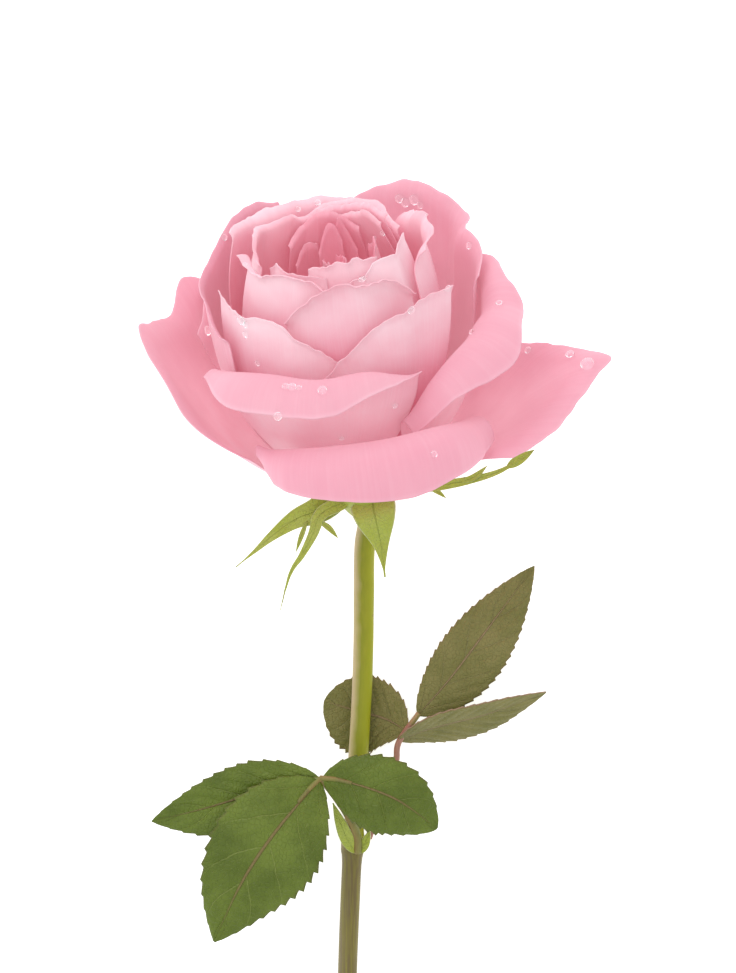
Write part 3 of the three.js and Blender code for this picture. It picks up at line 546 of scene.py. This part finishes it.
def addBlade(shape, given, slots):
    # half width = wide * sine swell along the rib, cut by forward-pointing teeth; the blade rises by fold away
    # from the rib, sags by the square, waves along its edge, and quilts between its side veins
    b = {**bladeBase, **given}
    path, tangent = curvePath(b["path"], b["rows"] + 1)
    side, lift = besidePath(tangent, b["roll"])
    v = np.linspace(0, 1, b["rows"] + 1)[:, None]
    u = np.linspace(-1, 1, b["cols"] + 1)[None]
    half = b["wide"] * np.maximum(np.sin(np.pi * v ** b["from"]) ** b["sharp"], b["tail"])
    half = half * np.where(u < 0, *b["side"])
    if b["teeth"]:
        saw = (v * b["teeth"] + np.where(u < 0, b["leftTeeth"], 0)) % 1
        half = half * (1 - b["tooth"] * (1 - saw ** 1.5) * np.abs(u) ** 6)
    out = u * half
    waves = np.sin(b["waves"][0] * v + b["waves"][1] * u)
    rise = b["fold"] * np.abs(out) - b["sag"] * u * out + b["wave"] * np.abs(u) * waves
    phase = (v - sideVeins["lean"] * np.abs(u)) * sideVeins["count"] + np.where(u < 0, sideVeins["leftShift"], 0)
    vein = np.abs(phase % 1 - 0.5) * 2
    rise = rise + b["quilt"] * (1 - vein ** 2) * np.abs(u) * (1 - np.abs(u)) * 4 * np.sin(np.pi * v)
    crinkles = softNoise(out / b["crinklePitch"][0], v * b["crinklePitch"][1], b["seed"])
    rise = rise + b["crinkle"] * b["quilt"] * crinkles
    points = path[:, None] + out[..., None] * side[:, None] + rise[..., None] * lift[:, None]
    rib = b["rib"] * np.exp(-(out / b["ribWide"]) ** 2) * (1 - v) ** 0.7
    uv = np.stack([(u + 1) / 2 + 0 * v, v + 0 * u], -1)
    addSheet(shape, points, uv, b["above"], b["below"] + rib, slots)


# Leaf: waxed cuticle over green tissue, a soft gloss, sunken side veins and a raised pale midrib.
# Sepal: a young green leaf of the bud, matt and yellow-green with a pale downy rim.
leafLook = {"netMm": 1.1, "netShare": 0.25, "patchMm": 8, "wanderMm": 4, "wanderShare": 0.25, "ior": 1.45,
            "bump": 0.0005}


def leafMaterial(name, shades):
    material, add = startMaterial(name)
    u, v, place = ownPlaces(add)
    fromRib = add("Math", (u, 0.5), operation="SUBTRACT")
    out = add("Math", [fromRib], operation="ABSOLUTE")
    isLeft = add("Math", (fromRib, 0), operation="LESS_THAN")
    # side veins: lines where count * (v - lean * |u|), shifted on the left side, is a whole number; out is |u| / 2
    lean = add("Math", (out, -2 * sideVeins["lean"], v), operation="MULTIPLY_ADD")
    shift = add("Math", (isLeft, sideVeins["leftShift"]), operation="MULTIPLY")
    phase = add("Math", (lean, sideVeins["count"], shift), operation="MULTIPLY_ADD")
    wander = add("TexNoise", {"Vector": place, "Scale": 1000 / leafLook["wanderMm"]})
    moved = add("Math", (wander, leafLook["wanderShare"], phase), operation="MULTIPLY_ADD")
    away = add("Math", (moved, 1), operation="PINGPONG")
    nearWhole = add("MapRange", (away, 0, 0.09, 1, 0), interpolation_type="SMOOTHSTEP")
    fade = add("MapRange", (out, 0.5, 0.2, 0.15, 1))
    sideVein = add("Math", (nearWhole, fade), operation="MULTIPLY")
    midrib = add("MapRange", (out, 0.008, 0.02, 1, 0), interpolation_type="SMOOTHSTEP")
    tipFade = add("MapRange", (v, 1, 0.6, 0.1, 1))
    ribbed = add("Math", (midrib, tipFade), operation="MULTIPLY")
    net = add("TexVoronoi", {"Vector": place, "Scale": 1000 / leafLook["netMm"]}, feature="DISTANCE_TO_EDGE")
    netLine = add("MapRange", (net, 0, 0.12, 1, 0))
    blotch = add("TexNoise", {"Vector": place, "Scale": 1000 / leafLook["patchMm"], "Detail": 4})
    patch = add("MapRange", (blotch, 0.35, 0.68))
    ground = add("MixRGB", (patch, shades["ground"], shades["patch"]))
    netShare = add("Math", (netLine, leafLook["netShare"]), operation="MULTIPLY")
    netted = add("MixRGB", (netShare, ground, shades["net"]))
    veinShare = add("Math", (sideVein, shades["veinShare"]), operation="MULTIPLY")
    veined = add("MixRGB", (veinShare, netted, shades["vein"]))
    rim = add("MapRange", (out, 0.46, 0.5, 0, shades["rimShare"]))
    rimmed = add("MixRGB", (rim, veined, shades["rim"]))
    color = add("MixRGB", (ribbed, rimmed, shades["rib"]))
    sunk = add("Math", (sideVein, -shades["sink"], ribbed), operation="MULTIPLY_ADD")
    height = add("Math", (netLine, -leafLook["netShare"], sunk), operation="MULTIPLY_ADD")
    bump = add("Bump", {"Strength": 0.8, "Distance": leafLook["bump"], "Height": height})
    skin = add("BsdfPrincipled", {"Base Color": color, "Normal": bump, "Roughness": shades["roughness"],
                                  "IOR": leafLook["ior"]})
    glow = add("BsdfTranslucent", {"Color": shades["glow"], "Normal": bump})
    both = add("MixShader", (shades["through"], skin, glow))
    add("OutputMaterial", {"Surface": both})
    return material


# sink is how deep the side veins lie in the bump; below 0 they stand out, as they do on an underside
frontTop = leafMaterial("leafGreenUpper", {
    "ground": "516307", "patch": "697b22", "net": "73842e", "vein": "8b984c", "veinShare": 0.5, "rim": "6b6434",
    "rimShare": 0.5, "rib": "7f6f40", "glow": "7f9830", "roughness": 0.42, "through": 0.1, "sink": 0.5})
frontUnder = leafMaterial("leafGreenUnder", {
    "ground": "7c885a", "patch": "889368", "net": "959f74", "vein": "a0a97c", "veinShare": 0.6, "rim": "8f9a62",
    "rimShare": 0.5, "rib": "b4a26c", "glow": "7fa430", "roughness": 0.6, "through": 0.12, "sink": -0.5})
backTop = leafMaterial("leafOliveUpper", {
    "ground": "747336", "patch": "89834a", "net": "8e8a58", "vein": "98946a", "veinShare": 0.35, "rim": "92754f",
    "rimShare": 0.7, "rib": "99835e", "glow": "8a9038", "roughness": 0.55, "through": 0.1, "sink": 0.4})
backUnder = leafMaterial("leafOliveUnder", {
    "ground": "7f8b5e", "patch": "89956a", "net": "939e76", "vein": "9e9d80", "veinShare": 0.5, "rim": "b08a76",
    "rimShare": 0.8, "rib": "bf9076", "glow": "8a9038", "roughness": 0.65, "through": 0.12, "sink": -0.4})
sepalTop = leafMaterial("sepalInnerFace", {
    "ground": "b0bd46", "patch": "bcc862", "net": "c8d380", "vein": "cdd88c", "veinShare": 0.3, "rim": "e2e6b8",
    "rimShare": 0.9, "rib": "abb84e", "glow": "b0c834", "roughness": 0.6, "through": 0.2, "sink": 0.2})
sepalUnder = leafMaterial("sepalOuterFace", {
    "ground": "96a032", "patch": "a8ad48", "net": "b4bb5c", "vein": "b0b85e", "veinShare": 0.25, "rim": "d5daa0",
    "rimShare": 0.9, "rib": "9fa348", "glow": "b0c834", "roughness": 0.6, "through": 0.2, "sink": -0.2})
print("leaf materials made")

# Green bark: a smooth waxy skin with long fibres under it, and small brown corky marks. shades gives colours round
# the stalk, from its right edge over its top to its left edge, for its length before and after change.
stalkLook = {"fibreMm": 0.55, "fibreRunMm": 16, "fibreShare": 0.35, "blotchMm": 5.5, "markMm": 6.25, "markShare": 0.6,
             "changeOver": 0.012, "ior": 1.45, "bump": 0.0001}


def stalkMaterial(name, shades, roughness):
    material, add = startMaterial(name)
    u, v, place = ownPlaces(add)
    across, along = 1000 / stalkLook["fibreMm"], 1000 / stalkLook["fibreRunMm"]
    long = add("Mapping", {"Vector": place, "Scale": (across, along, across)})
    fibres = add("TexNoise", {"Vector": long, "Scale": 1, "Detail": 4})
    blotch = add("TexNoise", {"Vector": place, "Scale": 1000 / stalkLook["blotchMm"], "Detail": 3})
    marks = add("TexVoronoi", {"Vector": place, "Scale": 1000 / stalkLook["markMm"]})
    wander = add("Math", (blotch, 0.1, u), operation="MULTIPLY_ADD")
    turn = add("Math", (wander, 0.05), operation="SUBTRACT")
    upper, lower = (add("ValToRGB", [turn], shades[part]) for part in ("upper", "lower"))
    change, over = shades["change"], stalkLook["changeOver"]
    below = add("MapRange", (v, change - over, change + over))
    color = add("MixRGB", (below, upper, lower))
    streak = add("MapRange", (fibres, 0.4, 0.7, 0, stalkLook["fibreShare"]))
    fibred = add("MixRGB", (streak, color, shades["fibre"]))
    corky = add("MapRange", (marks, 0.05, 0.1, stalkLook["markShare"], 0))
    marked = add("MixRGB", (corky, fibred, shades["mark"]))
    bump = add("Bump", {"Strength": 0.6, "Distance": stalkLook["bump"], "Height": fibres})
    skin = add("BsdfPrincipled", {"Base Color": marked, "Normal": bump, "Roughness": roughness,
                                  "IOR": stalkLook["ior"]})
    add("OutputMaterial", {"Surface": skin})
    return material


stemSkin = stalkMaterial("greenBark", {
    "upper": [(0, "c0ae8c"), (0.1, "9a9548"), (0.3, "8a8f10"), (0.5, "9ea30c"), (0.62, "959a0a"), (0.76, "7f840c"),
              (0.86, "b09f74"), (1, "c0ae8c")],
    "lower": [(0, "877b64"), (0.15, "74683c"), (0.35, "665a30"), (0.5, "6e6238"), (0.7, "685a31"), (0.85, "776b4a"),
              (1, "877b64")],
    "change": 0.53, "fibre": "9a981c", "mark": "6b542e"}, roughness=0.55)
stalkSkin = stalkMaterial("leafStalkSkin", {
    "upper": [(0, "7c8434"), (0.3, "727e34"), (0.5, "8a6c3e"), (0.8, "787838"), (1, "7c8434")],
    "lower": [(0, "6a7230"), (0.3, "5f6c30"), (0.5, "7a6038"), (0.8, "686a32"), (1, "6a7230")],
    "change": 0.5, "fibre": "8f8f48", "mark": "6b5034"}, roughness=0.5)
redStalkSkin = stalkMaterial("reddishStalkSkin", {
    "upper": [(0, "b5846a"), (0.3, "b07a62"), (0.5, "a56b5a"), (0.8, "a8796a"), (1, "b5846a")],
    "lower": [(0, "9b9455"), (0.3, "a08d55"), (0.5, "a9805a"), (0.8, "9b9455"), (1, "9b9455")],
    "change": 0.9, "fibre": "c7a288", "mark": "7f5a48"}, roughness=0.5)

# The stem's axis: top gives heights on the bloom's axis from the petals' foot, and steps picture steps with heights
# over the surface, down to the cut end. Places and lengths along it are shares of its length, and the rest is mm.
stemTable = {"top": (-10.95, -12.2),
             "steps": [(365, 542, 12.1), (364, 568, 10.4), (363.5, 640, 7.4), (361.5, 700, 5.9), (355.5, 800, 4.2),
                       (352, 860, 3.5), (347.5, 973, 2.5), (345, 1133, 2.12)],
             "radius": 2.5, "endRadius": 2.3, "nodeAt": 0.53, "nodeSwell": 0.5, "nodeLong": 0.02, "scar": 0.12,
             "scarAfter": 0.012, "scarTilt": 0.004, "scarLong": 0.003, "bump": 0.05, "bumps": 60, "cutSlant": 40,
             "rows": 260, "sides": 40}


def stemRadius(t, turn):
    # even taper, with a swelling at the leaf node, a faint ridge round its scar, and slight bumps all along
    st = stemTable
    swell = st["nodeSwell"] * np.exp(-(((t - st["nodeAt"]) / st["nodeLong"]) ** 2))
    scarAt = st["nodeAt"] + st["scarAfter"] + st["scarTilt"] * np.sin(turn)
    scar = st["scar"] * np.exp(-(((t - scarAt) / st["scarLong"]) ** 2))
    bumps = st["bump"] * softNoise(t * st["bumps"], turn, 7) * np.sin(turn / 2) ** 2
    return st["radius"] + (st["endRadius"] - st["radius"]) * t + swell + scar + bumps


stemTop = [inBloom(0, 0, up) for up in stemTable["top"]]
stemPath = np.concatenate([stemTop, inPicture(stemTable["steps"])])
stemRings = rodRings(stemPath, stemRadius, stemTable["rows"], stemTable["sides"])
cutEnd = inPicture((*stemTable["steps"][-1][:2], 0))
cutLine = cutEnd[1] + stemRings[..., 2] * np.tan(stemTable["cutSlant"] * degree)
stemRings[..., 1] = np.maximum(stemRings[..., 1], cutLine)
stemShape = newShape()
addTube(stemShape, stemRings[:, ::-1], 0, 1)

# Cut wood: pale pith in the middle, a pale green ring round it and the bark's brown edge, with specks of its cells.
cutLook = {"rings": [(0, "efe9cf"), (0.45, "e3e0b4"), (0.55, "b9c07a"), (0.85, "a9b060"), (1, "7c6c40")],
           "speckMm": 0.4, "bump": 0.0001, "roughness": 0.6, "ior": 1.45}
cutFace, add = startMaterial("freshCutPith")
fromMiddle, _, place = ownPlaces(add)
speck = add("TexNoise", {"Vector": place, "Scale": 1000 / cutLook["speckMm"]})
ringColor = add("ValToRGB", [fromMiddle], cutLook["rings"])
cutBump = add("Bump", {"Strength": 0.5, "Distance": cutLook["bump"], "Height": speck})
cutSkin = add("BsdfPrincipled", {"Base Color": ringColor, "Roughness": cutLook["roughness"], "IOR": cutLook["ior"],
                                 "Normal": cutBump})
add("OutputMaterial", {"Surface": cutSkin})
makePiece("stem-skin", stemShape, [stemSkin, cutFace], ["stem"])
print("stem made")

# The receptacle turns about the bloom's axis: radii and heights over the petals' foot, with five faint ribs. Each
# sepal grows out of it at root, at an angle of its own. Sepals and side lobes go on by picture steps with heights.
calyxTable = {
    "hip": [(0.8, 5.5), (1.4, 5.2), (3.2, 3), (5.2, 0.6), (6.5, -1.2), (6.9, -2.2), (6.75, -3.2), (6.2, -4.4),
            (5.2, -6.3), (4.1, -7.9), (3.2, -9.1), (2.7, -10.1), (2.55, -10.9)],
    "hipRibs": 0.02, "hipSides": 36, "root": (5.6, -3.2),
    "sepals": [
        {"turn": -100, "to": [(318, 510, -0.4), (296, 519, -1), (272, 536, -1.6), (255, 551, -0.8), (236, 567, 1.4)],
         "wide": 3.5},
        {"turn": -45, "to": [(321, 514, 2.8), (313, 534, 2.2), (302, 555, 1.2), (291, 572, 0.6), (280, 611, -0.5)],
         "wide": 1.7},
        {"turn": 18, "to": [(375, 516, 5.9), (381, 545, 2.4), (385, 577, 1.4)], "wide": 5.4},
        {"turn": 84, "to": [(436, 486, 1.4), (470, 480, 1.8), (500, 471, 3.2), (533, 451, 6.4)], "wide": 1.25,
         "from": 0.5, "sharp": 0.9},
        {"turn": 172, "to": [(370, 530, -9.6), (366, 552, -12.8), (363, 575, -14.6)], "wide": 3.6}],
    "lobes": [
        {"path": [(307, 521, 0), (301, 537, 0.4), (296, 552, 0.8)], "wide": 0.6},
        {"path": [(319, 521, 2.6), (329, 528, 2.9), (338, 538, 3.2)], "wide": 0.7},
        {"path": [(460, 482, 1.7), (474, 477, 2.4), (487, 466, 3.2)], "wide": 0.8},
        {"path": [(428, 487, 1.4), (438, 492, 1.6), (446, 498, 2)], "wide": 0.6},
        {"path": [(506, 468, 3.6), (520, 459, 5), (534, 450, 6.5)], "wide": 1.2}],
}
calyxShape = newShape()
hip = np.array(calyxTable["hip"], float)[::-1]
hipTurn = np.arange(calyxTable["hipSides"])[None] / calyxTable["hipSides"] * 2 * np.pi
hipOut = hip[:, :1] * (1 + calyxTable["hipRibs"] * np.cos(5 * hipTurn))
hipRings = inBloom(hipOut * np.sin(hipTurn), hipOut * np.cos(hipTurn), hip[:, 1:] + 0 * hipTurn)
addTube(calyxShape, hipRings, 2, 2)
overFoot = np.array((0, 0, footZ))
for k, sepal in enumerate(calyxTable["sepals"]):
    turn, (out, up) = sepal["turn"] * degree, calyxTable["root"]
    root = inBloom(out * np.sin(turn), out * np.cos(turn), up)
    path = np.concatenate([[root], inPicture(sepal["to"] + overFoot)])
    addBlade(calyxShape, {"from": 0.33, "sharp": 1.3, "fold": 0.12, "rows": 60, "cols": 14, "tail": 0.04,
                          "quilt": 0.05, "seed": k, "rib": 0.2, **sepal, "path": path}, (0, 1))
for lobe in calyxTable["lobes"]:
    addBlade(calyxShape, {**lobe, "path": inPicture(lobe["path"] + overFoot), "rows": 20, "cols": 8, "tail": 0.1,
                          "above": 0.12, "below": 0.12, "rib": 0.1}, (0, 1))
hipShades = [(0, "a3b24a"), (0.3, "9dab40"), (0.6, "a8ae55"), (1, "a3b24a")]
hipSkin = stalkMaterial("receptacleSkin", {"upper": hipShades, "lower": hipShades, "change": 0.5, "fibre": "b9c468",
                                           "mark": "8f9440"}, roughness=0.5)
makePiece("calyx-sepals", calyxShape, [sepalTop, sepalUnder, hipSkin], ["calyx"])
print("calyx made")

# Compound leaves: stalks, leaflets and stipules, by picture steps and heights over the surface.
leafTable = {
    "leaf_front": {
        "stalks": [([(358, 852, 7.7), (357, 836, 9.8), (346, 812, 13), (321, 778, 17)], 1.1, 0.8),
                   ([(322, 779, 17), (300, 781, 16.8), (280, 784, 16.5)], 0.7, 0.5),
                   ([(320, 778, 17), (308, 790, 17.8), (298, 802, 18.3)], 0.7, 0.5),
                   ([(320, 778, 17), (335, 779, 18), (352, 783, 19)], 0.7, 0.5)],
        "leaflets": [
            {"path": [(319, 778, 17), (266, 790, 16.4), (205, 808, 14), (152, 821, 11)], "wide": 9,
             "side": (1.05, 0.92), "teeth": 14, "fold": 0.16, "sag": 0.1},
            {"path": [(319, 780, 17.2), (275, 832, 18.8), (243, 880, 17), (214, 941, 12.5)], "wide": 13.2,
             "side": (1.09, 1.02), "teeth": 15, "fold": 0.14, "sag": 0.12, "wave": 0.4},
            {"path": [(323, 778, 17.2), (352, 783, 19), (396, 799, 20), (437, 828, 17)], "wide": 9.6,
             "side": (0.95, 1.08), "teeth": 12, "fold": 0.12, "sag": 0.16, "from": 0.95, "sharp": 0.7}],
        "stipules": [{"path": [(357, 853, 7.8), (349, 842, 9.6), (341, 824, 11.8), (333, 803, 13.6)], "wide": 1.7},
                     {"path": [(359, 853, 7.8), (364, 845, 8.6), (370, 830, 10)], "wide": 1.2}]},
    "leaf_back": {
        "stalks": [([(368.5, 838, 3.8), (382, 800, 4.4), (396, 762, 5.2), (398, 744, 5.8), (419, 713, 6.6)], 0.9, 0.7)],
        "leaflets": [
            {"path": [(418, 715, 6.6), (447, 682, 7.4), (488, 628, 8), (534, 566, 5.4)], "wide": 8.4,
             "side": (0.9, 1.1), "teeth": 20, "tooth": 0.07, "fold": 0.1, "sag": 0.1},
            {"path": [(398, 740, 5.8), (430, 728, 7.6), (488, 713, 9), (546, 692, 8.4)], "wide": 8.2,
             "side": (0.8, 0.9), "roll": 52, "teeth": 14, "fold": 0.1},
            {"path": [(407, 731, 5.4), (386, 719, 2.6), (358, 711, 1.5), (324, 701, 2.2)], "wide": 10.4,
             "side": (1.05, 0.95), "teeth": 14, "fold": 0.02, "from": 1.15, "sharp": 0.6}],
        "stipules": []},
}
leafSkins = {"leaf_front": ([frontTop, frontUnder, stalkSkin, sepalTop], "leaf_green"),
             "leaf_back": ([backTop, backUnder, redStalkSkin, sepalTop], "leaf_olive")}
for node, parts in leafTable.items():
    shape = newShape()
    for path, first, last in parts["stalks"]:
        rings = rodRings(inPicture(path), lambda t, turn: first + (last - first) * t + 0 * turn)
        addTube(shape, rings[:, ::-1], 2, 2)
    for k, leaflet in enumerate(parts["leaflets"]):
        addBlade(shape, {**leaflet, "path": inPicture(leaflet["path"]), "quilt": 0.4, "seed": k,
                         "rows": leaflet["teeth"] * 8}, (0, 1))
    for stipule in parts["stipules"]:
        addBlade(shape, {**stipule, "path": inPicture(stipule["path"]), "from": 0.7, "tail": 0.1, "rows": 40,
                         "cols": 10}, (3, 3))
    skins, slot = leafSkins[node]
    makePiece(node.replace("_", "-"), shape, skins, [node])
print("leaves made")

# Water: clear drops of dew that bead on the petals, with a bright window of light in each. drops are picture steps
# and radii in mm; each is flattened along the skin's normal and sunk into the skin, by shares of its radius. search
# is how many picture steps away the skin may be.
dewTable = {
    "drops": [(585, 364, 1.7), (567, 354, 1.1), (526, 349, 0.9), (206, 330, 1.2), (240, 322, 1.2), (244, 327, 0.8),
              (284, 386, 0.8), (290, 386, 1), (297, 386, 0.7), (322, 388, 1.1), (276, 414, 1), (395, 408, 0.7),
              (411, 306, 1), (447, 284, 0.9), (256, 365, 0.7), (243, 336, 0.8), (226, 236, 0.9), (358, 280, 0.8),
              (362, 281, 0.6), (397, 198, 1.1), (404, 203, 1.2), (412, 200, 1.3), (418, 205, 0.9), (466, 246, 0.9),
              (387, 232, 0.7), (300, 212, 0.7), (318, 199, 0.8), (352, 183, 0.7), (448, 178, 0.8), (246, 262, 0.7),
              (500, 300, 0.8), (470, 330, 0.7), (340, 440, 0.6), (436, 452, 0.8)],
    "flat": 0.62, "sink": 0.48, "search": 4, "rings": 10, "sides": 20, "ior": 1.333}


def dropSeats():
    # the skin point that the eye meets first near each drop's picture step, its normal, and the drop's radius
    points, normals = np.concatenate(seen["points"]), np.concatenate(seen["normals"])
    right = placing["middleStep"][0] + (points[:, 0] - middleX) / stepMm(points[:, 2])
    down = placing["middleStep"][1] - (points[:, 1] - middleY) / stepMm(points[:, 2])
    for x, y, size in dewTable["drops"]:
        near = np.where(np.hypot(right - x, down - y) < dewTable["search"])[0]
        if len(near):
            top = near[np.argmax(points[near, 2])]
            yield points[top], normals[top] * (1 if normals[top, 2] > 0 else -1), size


water, add = startMaterial("dewWater")
# the faint emission is a painted glow that keeps the clear drops bright
clear = add("BsdfPrincipled", {"Base Color": "ffffff", "Roughness": 0.02, "IOR": dewTable["ior"],
                               "Transmission Weight": 1, "Emission Color": "ffffff", "Emission Strength": 0.05})
add("OutputMaterial", {"Surface": clear})
dewShape = newShape()
polar = np.linspace(0, np.pi, dewTable["rings"] + 2)[1:-1, None, None]
turn = np.arange(dewTable["sides"])[None, :, None] / dewTable["sides"] * 2 * np.pi
seats = list(dropSeats())
for seat, n, size in seats:
    a = unit(np.cross(n, (0.3, 0.9, 0.2)))
    ring = np.sin(polar) * (np.cos(turn) * a + np.sin(turn) * np.cross(n, a))
    rings = seat + n * size * dewTable["sink"] + size * (ring + dewTable["flat"] * np.cos(polar) * n)
    addTube(dewShape, rings[:, ::-1])
dew = makePiece("dew-drops", dewShape, [water], [])
dew.visible_shadow = False  # light goes through clear water
print("dew drops made:", len(seats))

# White paper, lit from behind as on a light table, under plain soft light.
edge, under = 4, -0.0001
floorMesh = bpy.data.meshes.new("floor")
floorMesh.from_pydata([(x * edge, y * edge, under) for x, y in ((-1, -1), (1, -1), (1, 1), (-1, 1))], [],
                      [(0, 1, 2, 3)])
floor = addObject("floor", floorMesh)
paper, add = startMaterial("whitePaper")
matt = add("BsdfPrincipled", {"Base Color": "f3f3f3", "Roughness": 0.9, "Emission Color": "ffffff",
                              "Emission Strength": 0.65})
add("OutputMaterial", {"Surface": matt})
floorMesh.materials.append(paper)

lightTable = {"world": 0.92, "aim": (0.0, 0.06, 0.03),
              "softboxes": {"keySoftbox": (1.6, (-0.35, 0.6, 0.6), 0.6), "frontSoftbox": (0.8, (-0.1, -0.12, 0.9), 0.7),
                            "glintSoftbox": (0.2, (-0.25, 0.5, 0.8), 0.06)}}
world = bpy.data.worlds.new("studio")
bpy.context.scene.world = world
world.use_nodes = True
world.node_tree.nodes["Background"].inputs["Color"].default_value = (1, 1, 1, 1)
world.node_tree.nodes["Background"].inputs["Strength"].default_value = lightTable["world"]
for name, (energy, place, size) in lightTable["softboxes"].items():
    softbox = bpy.data.lights.new(name, "AREA")
    softbox.energy, softbox.size = energy, size
    stand = addObject(name, softbox)
    stand.location = place
    stand.rotation_euler = (Vector(lightTable["aim"]) - stand.location).to_track_quat("-Z", "Y").to_euler()

camera = bpy.data.cameras.new("eye")
camera.lens, camera.clip_start, camera.clip_end = 120, 0.01, 20
eye = addObject("eye", camera)
eye.location = (middleX * 0.001, middleY * 0.001, (footZ + placing["eyeHeight"]) * 0.001)
bpy.context.scene.camera = eye
bpy.context.scene.view_settings.view_transform = "Standard"

print("scene made")
